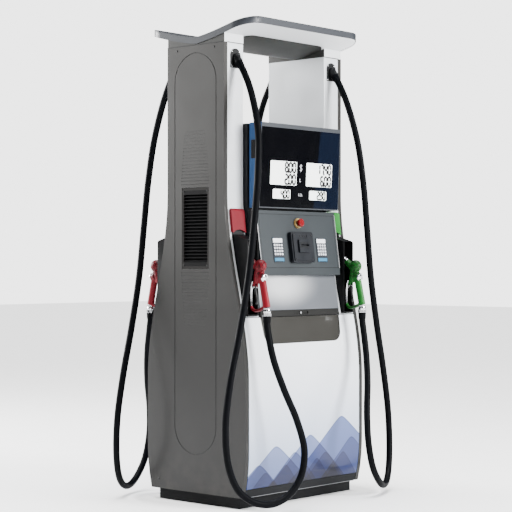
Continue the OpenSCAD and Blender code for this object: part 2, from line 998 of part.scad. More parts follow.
// Spout, swivel coupling, sight disc and lever pin.
module nozzle_metal() {
    spout_r = 10.5;
    swivel_y = hose_route[len(hose_route) - 1][1];
    swivel_z = hose_route[len(hose_route) - 1][2];
    way = unit(spout_tip - spout_bend);
    difference() {
        bar_yz(spout_bend, spout_tip, spout_r);
        bar_yz(spout_tip - 24 * way, spout_tip + 5 * way, spout_r - 2);
    }
    translate([0, spout_bend[0], spout_bend[1]])
        sphere(spout_r + 0.5);
    bar_yz(spout_root + [25, 22], spout_bend, spout_r + 0.2);
    translate([0, swivel_y, swivel_z])
        cylinder(h = 24, r = 21);
    translate([0, swivel_y, swivel_z + 24])
        cylinder(h = 15, r = 18);
    translate([0, -375, 1095])
        rotate([90, 0, 0])
            cylinder(h = 5, r = 20);
    translate([-14, lever_pin[0], lever_pin[1]])
        rotate([0, 90, 0])
            cylinder(h = 28, r = lever_pin_r - run_gap);
}

module nozzle_lever() {
    lever_t = 12;
    difference() {
        along_x(-lever_t / 2, lever_t)
            polygon(concat(arc(lever_pin, 8, -20, 180, 8),
                [[-325, 1030], [-333, 990], [-330, 972], [-322, 970], [-325, 992]],
                [[-316, 1028]]));
        translate([-lever_t, lever_pin[0], lever_pin[1]])
            rotate([0, 90, 0])
                cylinder(h = 2 * lever_t, r = lever_pin_r);
    }
}

red = [0.72, 0.17, 0.25];
green = [0.18, 0.54, 0.23];
chrome = [0.80, 0.82, 0.84];
black = [0.08, 0.08, 0.09];

module nozzle_body_front_left() {
    color(red) at_point(-1, -1) nozzle_body();
}

module nozzle_body_front_right() {
    color(green) at_point(1, -1) nozzle_body();
}

module nozzle_body_rear_left() {
    color(red) at_point(-1, 1) nozzle_body();
}

module nozzle_body_rear_right() {
    color(green) at_point(1, 1) nozzle_body();
}

module nozzle_metal_front_left() {
    color(chrome) at_point(-1, -1) nozzle_metal();
}

module nozzle_metal_front_right() {
    color(chrome) at_point(1, -1) nozzle_metal();
}

module nozzle_metal_rear_left() {
    color(chrome) at_point(-1, 1) nozzle_metal();
}

module nozzle_metal_rear_right() {
    color(chrome) at_point(1, 1) nozzle_metal();
}

module nozzle_lever_front_left() {
    color(black) at_point(-1, -1) nozzle_lever();
}

module nozzle_lever_front_right() {
    color(black) at_point(1, -1) nozzle_lever();
}

module nozzle_lever_rear_left() {
    color(black) at_point(-1, 1) nozzle_lever();
}

module nozzle_lever_rear_right() {
    color(black) at_point(1, 1) nozzle_lever();
}

// ---- hoses ------------------------------------------------------------------------

hose_sides = 10;

function tangent(i) =
    let (n = len(hose_route) - 1)
    unit(i == 0 ? hose_route[1] - hose_route[0]
        : i == n ? hose_route[n] - hose_route[n - 1]
        : unit(hose_route[i + 1] - hose_route[i]) + unit(hose_route[i] - hose_route[i - 1]));
function ring(i) =
    let (t = tangent(i), u = unit(cross(t, [0, 1, 0])), v = cross(t, u))
    [for (k = [0:hose_sides - 1])
        let (a = 360 * k / hose_sides)
        hose_route[i] + hose_r * (cos(a) * u + sin(a) * v)];

// Tube swept along the route: one ring of points at each route point.
module hose() {
    n = len(hose_route);
    m = hose_sides;
    polyhedron(
        points = [for (i = [0:n - 1]) each ring(i)],
        faces = concat(
            [[for (k = [m - 1:-1:0]) k]],
            [[for (k = [0:m - 1]) (n - 1) * m + k]],
            [for (i = [0:n - 2], k = [0:m - 1])
                [i * m + k, i * m + (k + 1) % m, (i + 1) * m + (k + 1) % m]],
            [for (i = [0:n - 2], k = [0:m - 1])
                [i * m + k, (i + 1) * m + (k + 1) % m, (i + 1) * m + k]]));
}

// Places the hose on one of the four columns' outer faces.
module hose_at(side, face) {
    mirror([side < 0 ? 1 : 0, 0, 0])
        mirror([0, face > 0 ? 1 : 0, 0])
            translate([column_mid - hose_route[0][0], 0, 0])
                hose();
}

module hose_front_right() {
    color(black) hose_at(1, -1);
}

module hose_front_left() {
    color(black) hose_at(-1, -1);
}

module hose_rear_right() {
    color(black) hose_at(1, 1);
}

module hose_rear_left() {
    color(black) hose_at(-1, 1);
}

// ---- drive, hydraulics and electronics --------------------------------------------

meter_x = 200;
meter_y = 130;
meter_z = 700;
pipe_r = 13;
shaft_r = 12;
motor_half = 120;
pulley_x = 152;
pulley_t = 22;
pump_x = 275;
separator_y = 55;
separator_top = pump_z + 150;
elbow_t = 2;
meter_r = 52;

module pulley(z, r) {
    groove = 6;
    left_right()
        translate([pulley_x, 0, z])
            rotate([0, 90, 0])
                difference() {
                    cylinder(h = pulley_t, r = r);
                    difference() {
                        translate([0, 0, pulley_t / 2 - 5])
                            cylinder(h = 10, r = r + 1);
                        translate([0, 0, pulley_t / 2 - 6])
                            cylinder(h = 12, r = r - groove);
                    }
                    translate([0, 0, -1])
                        cylinder(h = pulley_t + 2, r = shaft_r + run_gap);
                }
}

module motor_pulleys() {
    color([0.35, 0.36, 0.38])
        pulley(motor_z, motor_pulley_r);
}

module pump_pulleys() {
    color([0.35, 0.36, 0.38])
        pulley(pump_z, pump_pulley_r);
}

module motor() {
    r = 85;
    foot_z = floor_z + 0.5;
    foot_t = 12;
    color([0.20, 0.30, 0.42]) {
        translate([-motor_half, 0, motor_z])
            rotate([0, 90, 0])
                cylinder(h = 2 * motor_half, r = r);
        translate([-pulley_x - pulley_t, 0, motor_z])
            rotate([0, 90, 0])
                cylinder(h = 2 * (pulley_x + pulley_t), r = shaft_r);
        // Bearers beside the pipe opening carry two cross feet.
        for (y = [-1, 1])
            translate([0, y * (pipe_open_d / 2 + 20), foot_z])
                slab([220, 30, foot_t + eps]);
        for (x = [-80, 80])
            translate([x, 0, foot_z + foot_t]) {
                slab([30, pipe_open_d + 70, foot_t]);
                for (y = [-60, 60])
                    translate([0, y, 0])
                        slab([20, 20, motor_z - foot_z - foot_t - 55]);
            }
        translate([0, 0, motor_z + r - 10])
            slab([110, 90, 50]);
    }
}

module pump_units() {
    body = [130, 210, 200];
    inner = pump_x - body[0] / 2;
    color([0.55, 0.56, 0.58])
        left_right() {
            translate([pump_x, 0, pump_z - 100])
                slab(body);
            for (y = [-separator_y, separator_y])
                translate([pump_x, y, pump_z + 60])
                    cylinder(h = separator_top - pump_z - 60, r = 40);
            translate([pulley_x, 0, pump_z])
                rotate([0, 90, 0])
                    cylinder(h = inner - pulley_x + eps, r = shaft_r);
            translate([inner - 8, 0, pump_z])
                rotate([0, 90, 0])
                    cylinder(h = 10, r = 30);
            // Legs down to the floor plate.
            for (y = [-80, 80])
                translate([pump_x + 30, y, floor_z + 0.5])
                    slab([30, 30, pump_z - 100 - floor_z]);
        }
}

// Belt outline round both pulleys: tangent arcs joined by straight runs, as (y, z).
module belt_outline(r1, r2) {
    lean = asin((r2 - r1) / (pump_z - motor_z));
    polygon(concat(arc([0, pump_z], r2, -lean, 180 + lean, 24),
        arc([0, motor_z], r1, 180 + lean, 360 - lean, 16)));
}

module drive_belts() {
    groove = 5.5;
    belt_t = 5;
    color([0.07, 0.07, 0.07])
        left_right()
            difference() {
                along_x(pulley_x + pulley_t / 2 - 4.5, 9)
                    belt_outline(motor_pulley_r - groove + belt_t,
                        pump_pulley_r - groove + belt_t);
                along_x(pulley_x + pulley_t / 2 - 6, 12)
                    belt_outline(motor_pulley_r - groove, pump_pulley_r - groove);
            }
}

module flow_meters() {
    color([0.60, 0.62, 0.64])
        four_corners()
            translate([meter_x, meter_y, meter_z]) {
                cylinder(h = 100, r = meter_r);
                translate([0, 0, 100])
                    cylinder(h = 45, r = 26);
                for (a = [45:90:315])
                    rotate([0, 0, a])
                        translate([meter_r + 2, 0, 0])
                            cylinder(h = 100, r = 9);
            }
}

module pipe_run(points, r) {
    for (i = [0:len(points) - 2]) {
        v = points[i + 1] - points[i];
        length = norm(v);
        translate(points[i])
            rotate([0, acos(v[2] / length), atan2(v[1], v[0])])
                cylinder(h = length, r = r);
        if (i > 0)
            translate(points[i])
                sphere(r + elbow_t);
    }
}

module pipework() {
    inlet_x = pump_x - 30;
    color([0.66, 0.52, 0.30]) {
        four_corners() {
            pipe_run([[meter_x + meter_r, meter_y, meter_z + 50],
                [column_mid, meter_y, meter_z + 50], [column_mid, meter_y, outlet_z],
                [column_mid, upper_d / 2 - 2, outlet_z]], pipe_r);
            // Solenoid valve in each riser.
            translate([column_mid, meter_y, deck_z - 90])
                slab([38, 38, 50]);
            pipe_run([[pump_x - 20, separator_y, separator_top],
                [pump_x - 20, separator_y, meter_z - 16],
                [meter_x, meter_y - 40, meter_z - 16], [meter_x, meter_y - 40, meter_z]],
                9);
        }
        left_right() {
            pipe_run([[inlet_x, 0, pump_z - 100.5], [inlet_x, 0, 110],
                [110, 0, 110], [110, 0, 74]], 15);
        }
    }
}

module electronics() {
    z = display_z + 30;
    color([0.16, 0.38, 0.24])
        both_sides() {
            translate([0, -head_d / 2 + 60, z])
                slab([320, 3, 220]);
            for (i = [0:5])
                translate([-125 + 50 * i, -head_d / 2 + 68, z + 30 + 20 * (i % 3)])
                    slab([30, 16, 40]);
            translate([0, -head_d / 2 + 40, split_z + 40])
                slab([180, 60, 130]);
        }
}

// ---- assembly ---------------------------------------------------------------------

base_frame();
steel_frame();
side_panel_left();
side_panel_right();
vent_grilles();
column_left();
column_right();
canopy_top();
canopy_underside();
canopy_liner();
head_box();
console_front();
console_rear();
keypads();
card_readers();
aprons();
shelves();
kick_rails();
grade_caps_red();
grade_caps_green();
nozzle_boots_front();
nozzle_boots_rear();
hose_outlets();
hose_front_left();
hose_front_right();
hose_rear_left();
hose_rear_right();
estop_collars();
estop_button_front();
estop_button_rear();
lower_door_front();
lower_door_rear();
door_lock_front();
door_lock_rear();
display_door_front();
display_door_rear();
display_glass_front();
display_glass_rear();
lcd_modules_front();
lcd_modules_rear();
nozzle_body_front_left();
nozzle_body_front_right();
nozzle_body_rear_left();
nozzle_body_rear_right();
nozzle_metal_front_left();
nozzle_metal_front_right();
nozzle_metal_rear_left();
nozzle_metal_rear_right();
nozzle_lever_front_left();
nozzle_lever_front_right();
nozzle_lever_rear_left();
nozzle_lever_rear_right();
motor();
pump_units();
drive_belts();
flow_meters();
pipework();
electronics();
motor_pulleys();
pump_pulleys();
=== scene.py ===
"""Looks of a double-sided fuel dispenser: materials, hoses, nozzles, displays and trim."""

import math

import bmesh
import bpy
from mathutils import Matrix, Vector


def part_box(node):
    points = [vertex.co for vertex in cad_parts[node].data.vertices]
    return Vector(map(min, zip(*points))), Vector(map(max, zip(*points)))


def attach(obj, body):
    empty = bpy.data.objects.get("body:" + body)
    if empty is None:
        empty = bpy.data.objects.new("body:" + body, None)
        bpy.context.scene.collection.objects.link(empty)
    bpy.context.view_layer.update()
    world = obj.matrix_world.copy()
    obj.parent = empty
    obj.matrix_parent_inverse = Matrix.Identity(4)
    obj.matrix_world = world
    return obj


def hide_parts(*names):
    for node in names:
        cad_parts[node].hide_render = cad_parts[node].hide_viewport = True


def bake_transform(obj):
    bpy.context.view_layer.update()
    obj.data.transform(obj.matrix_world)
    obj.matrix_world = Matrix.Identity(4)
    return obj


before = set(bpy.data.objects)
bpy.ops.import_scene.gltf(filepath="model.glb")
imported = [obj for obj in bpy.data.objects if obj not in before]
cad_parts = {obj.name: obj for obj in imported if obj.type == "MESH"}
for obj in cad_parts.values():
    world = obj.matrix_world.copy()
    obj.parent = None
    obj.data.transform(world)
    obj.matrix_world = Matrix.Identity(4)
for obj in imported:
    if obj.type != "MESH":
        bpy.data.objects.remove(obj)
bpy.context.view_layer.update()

FACES = ("front", "rear")
CORNERS = [(side, face, sx, sy) for face, sy in (("front", -1), ("rear", 1))
           for side, sx in (("left", -1), ("right", 1))]


# ---- places taken from the frame, and the cabinet's curve from part.scad ----

METAL_A, METAL_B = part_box("nozzle_metal_front_right")
HOSE_X = (METAL_A.x + METAL_B.x) / 2
PANEL_A, PANEL_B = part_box("side_panel_right")
PANEL_LOW, PANEL_TOP = PANEL_A.z, PANEL_B.z
PANEL_INSIDE, PANEL_FACE = PANEL_A.x, PANEL_B.x
FULL_DEPTH = -PANEL_A.y
UPPER_DEPTH = 0.19
FLARE_TOP = 1.5
FLARE_LOW = 0.6
TUCK_Z = 0.3
TUCK = 0.028


def half_depth(z):
    """Distance of the cabinet's front surface from the centre plane at a height."""
    t = min(1.0, max(0.0, (FLARE_TOP - z) / (FLARE_TOP - FLARE_LOW)))
    depth = UPPER_DEPTH + (FULL_DEPTH - UPPER_DEPTH) * t * t * (3 - 2 * t)
    if z < TUCK_Z:
        depth -= TUCK * ((TUCK_Z - z) / (TUCK_Z - PANEL_LOW)) ** 2.5
    return depth


def face_matrix(face):
    """Turns a piece made for the front face onto the named face."""
    return Matrix.Identity(4) if face == "front" else Matrix.Rotation(math.pi, 4, "Z")


# ---- camera, floor and light ----

# Fitted to the photograph: lens on a 36 mm sensor, place, tilt and turn.
LENS = 108.7
SENSOR = 36.0
CAMERA_AT = (-5.821, -5.203, 1.158)
CAMERA_TILT = 90.31
CAMERA_TURN = -48.19

FLOOR_HALF = 30.0
AMBIENT = 0.1
BACKDROP = 4.5
SUN_POWER = 8.5
SUN_SPREAD = 40
# Name, place, aim, width and height, watts.
LAMPS = [("key", (1.8, -5.6, 3.0), (0, 0, 1.1), (2.2, 2.6), 1000),
         ("side_fill", (-5.5, 1.2, 3.4), (0, 0, 1.4), (1.6, 3.0), 20),
         ("back", (-1.8, 5.6, 3.0), (0, 0, 1.1), (2.2, 2.6), 1000)]


def add_object(name, data):
    obj = bpy.data.objects.new(name, data)
    bpy.context.scene.collection.objects.link(obj)
    return obj


def make_camera():
    data = bpy.data.cameras.new("camera")
    data.sensor_width = SENSOR
    data.lens = LENS
    camera = add_object("camera", data)
    camera.location = CAMERA_AT
    camera.rotation_euler = (math.radians(CAMERA_TILT), 0.0, math.radians(CAMERA_TURN))
    bpy.context.scene.camera = camera


def area_light(name, location, target, size, power):
    data = bpy.data.lights.new(name, "AREA")
    data.shape = "RECTANGLE"
    data.size, data.size_y = size
    data.energy = power
    lamp = add_object(name, data)
    lamp.location = location
    way = Vector(target) - Vector(location)
    lamp.rotation_euler = way.to_track_quat("-Z", "Y").to_euler()


def make_floor():
    mesh = bpy.data.meshes.new("floor")
    corners = [(x * FLOOR_HALF, y * FLOOR_HALF, 0) for x, y in ((-1, -1), (1, -1), (1, 1), (-1, 1))]
    mesh.from_pydata(corners, [], [(0, 1, 2, 3)])
    floor = add_object("floor", mesh)
    surface = Shader("floor", (0.9, 0.9, 0.9), 0.7)
    surface.vary(0.02, 3.0)
    mesh.materials.append(surface.material)


def make_studio():
    """Dim light all round, a bright backdrop that only the camera sees, and lamps."""
    world = bpy.data.worlds.new("studio")
    world.use_nodes = True
    tree = world.node_tree
    ambient = tree.nodes["Background"]
    ambient.inputs["Color"].default_value = (0.92, 0.95, 1.0, 1.0)
    ambient.inputs["Strength"].default_value = AMBIENT
    backdrop = tree.nodes.new("ShaderNodeBackground")
    backdrop.inputs["Strength"].default_value = BACKDROP
    sight = tree.nodes.new("ShaderNodeLightPath")
    choose = tree.nodes.new("ShaderNodeMixShader")
    for i, output in enumerate((sight.outputs["Is Camera Ray"], ambient.outputs[0],
                                backdrop.outputs[0])):
        tree.links.new(output, choose.inputs[i])
    tree.links.new(choose.outputs[0], tree.nodes["World Output"].inputs[0])
    bpy.context.scene.world = world
    for lamp in LAMPS:
        area_light(*lamp)
    sun = bpy.data.lights.new("overhead", "SUN")
    sun.energy = SUN_POWER
    sun.angle = math.radians(SUN_SPREAD)
    add_object("overhead", sun)


# ---- materials ----

MATERIALS = {}


class Shader:
    """A principled material whose colour, roughness and bump come from node patterns."""

    def __init__(self, name, colour, roughness, metallic=0.0, **constants):
        self.material = bpy.data.materials.new(name)
        self.material.use_nodes = True
        MATERIALS[name] = self.material
        self.tree = self.material.node_tree
        self.bsdf = self.tree.nodes["Principled BSDF"]
        self.set("Base Color", (*colour, 1.0))
        self.set("Roughness", roughness)
        self.set("Metallic", metallic)
        for key, value in constants.items():
            self.set(key.replace("_", " "), value)
        self.colour = (*colour, 1.0)
        self.height = None
        self.coordinates = self.node("ShaderNodeTexCoord").outputs["Object"]

    def set(self, socket, value):
        self.bsdf.inputs[socket].default_value = value

    def node(self, kind, **settings):
        node = self.tree.nodes.new(kind)
        for key, value in settings.items():
            setattr(node, key, value)
        return node

    def link(self, source, target):
        self.tree.links.new(source, target)

    def feed(self, socket, source):
        """Connects an output to an input socket, or sets a plain number or colour on it."""
        if isinstance(source, (int, float, tuple)):
            socket.default_value = source
        else:
            self.link(source, socket)

    def math(self, operation, a, b=0.0):
        node = self.node("ShaderNodeMath", operation=operation)
        self.feed(node.inputs[0], a)
        self.feed(node.inputs[1], b)
        return node.outputs[0]

    def times(self, a, b):
        return self.math("MULTIPLY", a, b)

    def plus(self, a, b):
        return self.math("ADD", a, b)

    def minus(self, a, b):
        return self.math("SUBTRACT", a, b)

    def size(self, a):
        return self.math("ABSOLUTE", a)

    def reach(self, a, b):
        """Distance from the origin of a point with two coordinates."""
        return self.math("SQRT", self.plus(self.times(a, a), self.times(b, b)))

    def range(self, source, low, high, to_low=0.0, to_high=1.0, smooth=False):
        node = self.node("ShaderNodeMapRange")
        node.interpolation_type = "SMOOTHSTEP" if smooth else "LINEAR"
        self.feed(node.inputs["Value"], source)
        node.inputs["From Min"].default_value = low
        node.inputs["From Max"].default_value = high
        node.inputs["To Min"].default_value = to_low
        node.inputs["To Max"].default_value = to_high
        return node.outputs["Result"]

    def mix(self, factor, a, b, blend="MIX"):
        node = self.node("ShaderNodeMix", data_type="RGBA", blend_type=blend)
        self.feed(node.inputs["Factor"], factor)
        self.feed(node.inputs["A"], a)
        self.feed(node.inputs["B"], b)
        return node.outputs["Result"]

    def axis(self, name, source=None):
        node = self.node("ShaderNodeSeparateXYZ")
        self.link(source or self.coordinates, node.inputs[0])
        return node.outputs[name]

    def across(self):
        """X on the front face, and -X on the rear face, which is the front turned round."""
        front = self.math("LESS_THAN", self.axis("Y"), 0.0)
        return self.times(self.axis("X"), self.range(front, 0.0, 1.0, -1.0, 1.0))

    def sideways(self):
        """1 on faces that look along X, 0 elsewhere."""
        normal = self.node("ShaderNodeTexCoord").outputs["Normal"]
        return self.range(self.size(self.axis("X", normal)), 0.55, 0.75)

    def stretched(self, scale):
        node = self.node("ShaderNodeMapping")
        node.inputs["Scale"].default_value = scale
        self.link(self.coordinates, node.inputs["Vector"])
        return node.outputs[0]

    def noise(self, scale, detail=3.0, source=None, roughness=0.5):
        node = self.node("ShaderNodeTexNoise")
        node.inputs["Scale"].default_value = scale
        node.inputs["Detail"].default_value = detail
        node.inputs["Roughness"].default_value = roughness
        self.link(source or self.coordinates, node.inputs["Vector"])
        return node.outputs["Fac"]

    def paint_over(self, factor, rgb, blend="MIX"):
        self.colour = self.mix(factor, self.colour, (*rgb, 1.0), blend)
        self.link(self.colour, self.bsdf.inputs["Base Color"])

    def shade(self, factor, rgb=(0.0, 0.0, 0.0)):
        """Multiplies the colour by rgb where the factor is 1."""
        self.paint_over(factor, rgb, "MULTIPLY")

    def vary(self, amount, scale, source=None):
        """Slow uneven tone."""
        tone = self.range(self.noise(scale, 4.0, source), 0.3, 0.7)
        self.shade(tone, (1.0 - amount,) * 3)

    def rough(self, low, high, scale, source=None):
        self.link(self.range(self.noise(scale, 4.0, source), 0.3, 0.7, low, high),
                  self.bsdf.inputs["Roughness"])

    def bump(self, height, distance, strength=1.0):
        node = self.node("ShaderNodeBump")
        node.inputs["Strength"].default_value = strength
        node.inputs["Distance"].default_value = distance
        self.link(height, node.inputs["Height"])
        if self.height is not None:
            self.link(self.height, node.inputs["Normal"])
        self.height = node.outputs[0]
        self.link(self.height, self.bsdf.inputs["Normal"])


def srgb(r, g, b):
    """Linear colour of 8-bit screen values."""
    def linear(c):
        c /= 255.0
        return c / 12.92 if c <= 0.04045 else ((c + 0.055) / 1.055) ** 2.4
    return linear(r), linear(g), linear(b)


def paint(name, colour, roughness=0.32, coat=0.25, metallic=0.0, flake=0.06, grime=0.0,
          gloss=0.3):
    """Sprayed paint: orange peel, fine flake, uneven gloss and dust towards the ground."""
    s = Shader(name, colour, roughness, metallic, Coat_Weight=coat, Coat_Roughness=0.16,
               Specular_IOR_Level=gloss)
    s.vary(0.06, 1.7)
    speck = s.range(s.noise(900.0, 2.0), 0.35, 0.65)
    s.shade(s.times(speck, flake))
    s.rough(roughness - 0.02, roughness + 0.04, 6.0)
    s.bump(s.noise(260.0, 2.0), 0.0002, 0.25)
    low = s.range(s.axis("Z"), 0.0, 0.35, 1.0, 0.0, smooth=True)
    dust = s.times(low, s.range(s.noise(14.0, 6.0), 0.45, 0.75))
    s.paint_over(s.times(dust, grime), srgb(120, 112, 100))
    return s


def plastic(name, colour, roughness=0.45, grain=0.0004, scale=700.0, gloss=0.18):
    """Moulded plastic with a fine eroded grain."""
    s = Shader(name, colour, roughness, Specular_IOR_Level=gloss)
    s.vary(0.1, 9.0)
    s.rough(roughness - 0.06, roughness + 0.08, 25.0)
    s.bump(s.noise(scale, 3.0), grain, 0.35)
    return s


def knurled(name, colour, dark):
    """Vinyl cover with a speckle of dark pits between the knurls."""
    s = plastic(name, colour, 0.45, 0.0006, 420.0)
    pits = s.range(s.noise(190.0, 2.0), 0.44, 0.54)
    # The dark speckle lies only on the head and the lower guard, picked by height.
    speckled_zone = s.math("MAXIMUM", s.range(s.axis("Z"), 1.075, 1.105),
                  s.range(s.axis("Z"), 0.945, 0.955, 1.0, 0.0))
    s.paint_over(s.times(s.times(pits, speckled_zone), 0.9), dark)


def metal(name, colour, roughness=0.22, brushed=(40.0, 40.0, 900.0), distance=0.00008):
    """Bare metal with a drawn or brushed grain."""
    s = Shader(name, colour, roughness, 1.0)
    lines = s.stretched(brushed)
    s.vary(0.18, 1.0, lines)
    s.rough(roughness - 0.06, roughness + 0.12, 1.0, lines)
    s.bump(s.noise(1.0, 3.0, lines), distance, 0.3)


def rubber(name, colour, roughness=0.48):
    s = Shader(name, colour, roughness, Specular_IOR_Level=0.035)
    s.vary(0.25, 30.0)
    s.rough(roughness - 0.08, roughness + 0.12, 18.0)
    s.bump(s.noise(500.0, 4.0), 0.0003, 0.4)
    scuff = s.range(s.noise(55.0, 7.0, roughness=0.7), 0.62, 0.78)
    s.paint_over(s.times(scuff, 0.05), srgb(70, 70, 70))


# Colour, roughness, coat, metallic, flake, dust and gloss.
PAINTS = {
    "column_paint": (srgb(222, 225, 228), 0.3, 0.35, 0.35, 0.04),
    "canopy_paint": (srgb(46, 49, 54), 0.42, 0.05, 0.1, 0.08),
    "liner_paint": (srgb(28, 29, 27), 0.5, 0.0, 0.0, 0.05, 0.0, 0.12),
    "head_paint": (srgb(20, 22, 26), 0.42, 0.08, 0.0, 0.05),
    "console_paint": (srgb(40, 45, 48), 0.4, 0.05, 0.2, 0.08),
    "shelf_paint": (srgb(20, 20, 19), 0.45, 0.0, 0.0, 0.08, 0.0, 0.15),
    "plinth_paint": ((0.003, 0.0034, 0.0042), 0.55, 0.0, 0.0, 0.1, 0.004, 0.1),
    "kick_paint": (srgb(11, 13, 16), 0.46, 0.0, 0.0, 0.08, 0.004, 0.12),
    "steel_paint": (srgb(120, 122, 125), 0.5, 0.0, 0.4, 0.1, 0.2),
    "motor_paint": (srgb(38, 70, 110), 0.45, 0.1, 0.0, 0.05, 0.2),
    "lever_black": ((0.003, 0.0032, 0.0038), 0.35, 0.1, 0.0, 0.03),
}
# Colour, roughness, depth and scale of the grain, gloss.
LOUVRE_LOOK = ((0.0022, 0.0022, 0.0025), 0.55, 0.0004, 700.0, 0.05)
PLASTICS = {
    "black_plastic": ((0.0028, 0.003, 0.0036), 0.42),
    "dark_plastic": ((0.005, 0.0062, 0.0088), 0.4),
    "louvre_black": LOUVRE_LOOK,
    "red_plastic": ((0.135, 0.0024, 0.009), 0.4, 0.0003),
    "green_plastic": ((0.026, 0.215, 0.036), 0.4, 0.0003),
    "red_button": ((0.15, 0.003, 0.006), 0.3, 0.0002),
    "yellow_plastic": ((0.32, 0.2, 0.066), 0.38, 0.0003),
    "key_silver": (srgb(212, 215, 220), 0.38, 0.0003),
    "key_plate": (srgb(34, 38, 44), 0.45, 0.0003),
    "key_blue": ((0.03, 0.15, 0.26), 0.4, 0.0003),
    "dark_print_and_shade": ((0.0016, 0.0017, 0.002), 0.5, 0.0001),
    "print_white": (srgb(225, 228, 232), 0.5, 0.0001),
    "circuit_board": (srgb(24, 84, 44), 0.5, 0.0003),
}
# Colour of the knurls and of the pits between them.
VINYLS = {
    "red_vinyl": ((0.16, 0.0034, 0.0105), (0.02, 0.0014, 0.0024)),
    "green_vinyl": ((0.009, 0.105, 0.013), (0.0016, 0.008, 0.002)),
}
# Colour, roughness, scale of the grain along each axis, its depth.
METALS = {
    "chrome": ((0.8, 0.81, 0.83), 0.14, (60.0, 60.0, 60.0), 0.00003),
    "aluminium": ((0.68, 0.69, 0.71), 0.32, (300.0, 300.0, 30.0)),
    "cast_aluminium": ((0.52, 0.53, 0.55), 0.5, (260.0, 260.0, 260.0), 0.0004),
    "brass": ((0.66, 0.5, 0.24), 0.35, (60.0, 60.0, 500.0)),
    "cast_iron": ((0.22, 0.22, 0.23), 0.55, (300.0, 300.0, 300.0), 0.0005),
}
RUBBERS = {
    "hose_rubber": ((0.0022, 0.0025, 0.0034),),
    "belt_rubber": ((0.0022, 0.0022, 0.0024), 0.6),
}


def side_panel_paint():
    """Warm grey with painted shade that darkens it downwards, and painted shadow in the pressed
    lines and outline groove.
    """
    s = paint("side_panel_paint", srgb(37, 36, 34), 0.42, 0.12, 0.25, 0.1, 0.12)
    # Painted shade: the colour darkens towards the bottom, where less light falls.
    fall = s.range(s.axis("Z"), 0.2, 2.0, 1.0, 0.0, smooth=True)
    s.shade(s.times(fall, 0.8), (0.36, 0.37, 0.4))
    # Painted shadow: faces sunk just below the panel face and looking along X are darkened, in the
    # pressed lines and groove.
    groove_shadow = s.range(s.size(s.axis("X")), PANEL_FACE - 0.0016, PANEL_FACE - 0.0002,
                   1.0, 0.0)
    s.shade(s.times(s.times(groove_shadow, s.sideways()), 0.75), (0.12, 0.12, 0.12))


# Peaks on the lower doors: place across, height, steepness and strength of each.
PEAKS = [(-0.345, 0.205, 0.85, 0.86), (-0.225, 0.285, 0.8, 0.78), (-0.085, 0.245, 0.92, 0.74),
         (0.03, 0.32, 0.84, 0.82), (0.15, 0.225, 1.0, 0.72), (0.275, 0.395, 0.8, 0.93),
         (0.355, 0.285, 0.92, 0.74), (0.085, 0.2, 1.1, 0.7), (-0.295, 0.165, 1.05, 0.72),
         (-0.15, 0.19, 1.1, 0.72), (0.29, 0.215, 1.1, 0.7), (0.205, 0.16, 1.2, 0.7),
         (-0.01, 0.16, 1.15, 0.7)]
PEAK_ROUND = 0.018
POCKET_HALF = 0.288
POCKET_LOW = 0.775
POCKET_R = 0.05
POCKET_LEAN = 0.09


def door_paint():
    """Silver white fading to pale blue, rounded translucent peaks and a grey pocket."""
    s = paint("door_paint", srgb(236, 239, 244), 0.3, 0.15, 0.1, 0.02)
    z = s.axis("Z")
    across = s.across()
    fall = s.range(z, 0.1, 0.8, 1.0, 0.0, smooth=True)
    s.shade(s.times(fall, 0.85), (0.34, 0.42, 0.58))
    for centre, height, steep, strength in PEAKS:
        run = s.times(s.minus(across, centre), steep)
        slope = s.math("SQRT", s.plus(s.times(run, run), PEAK_ROUND ** 2))
        above = s.minus(z, s.minus(height + PEAK_ROUND, slope))
        inside = s.range(above, -0.0012, 0.0012, 1.0, 0.0)
        s.shade(s.times(inside, strength), (0.12, 0.17, 0.38))
        rim = s.range(s.size(s.plus(above, 0.004)), 0.0018, 0.004, 1.0, 0.0)
        s.shade(s.times(rim, 0.6), (0.45, 0.5, 0.66))
    # Pocket: a rounded outline that widens slightly towards the shelf.
    lean = s.times(s.minus(z, POCKET_LOW), POCKET_LEAN)
    side = s.minus(s.minus(s.size(s.axis("X")), lean), POCKET_HALF - POCKET_R)
    side = s.math("MAXIMUM", side, 0.0)
    drop = s.math("MAXIMUM", s.minus(POCKET_LOW + POCKET_R, z), 0.0)
    pocket = s.range(s.reach(side, drop), POCKET_R - 0.0006, POCKET_R + 0.0006, 1.0, 0.0)
    s.paint_over(pocket, srgb(42, 41, 38))


def display_door_paint():
    """Blue on the sides, grey on the front strips and the top."""
    s = paint("display_door_paint", srgb(58, 61, 65), 0.34, 0.25, 0.3, 0.05, 0.0)
    s.paint_over(s.sideways(), srgb(6, 58, 104))


# Centre of the highlight painted on each apron, and how far it reaches.
HIGHLIGHT_X = -0.13
HIGHLIGHT_HALF_W = 0.26
HIGHLIGHT_Z = 1.06
HIGHLIGHT_HALF_H = 0.11


def apron_paint():
    """Silver with a painted highlight, darkening away from the highlight's centre."""
    s = paint("apron_paint", srgb(214, 216, 218), 0.34, 0.2, 0.55, 0.05, 0.0)
    across = s.math("DIVIDE", s.minus(s.across(), HIGHLIGHT_X), HIGHLIGHT_HALF_W)
    up = s.math("DIVIDE", s.minus(s.axis("Z"), HIGHLIGHT_Z), HIGHLIGHT_HALF_H)
    # Painted highlight: the colour is darkened with distance from its centre.
    s.shade(s.range(s.reach(across, up), 0.1, 1.2, smooth=True), (0.2, 0.21, 0.23))


VENT_BORDER = 0.0135


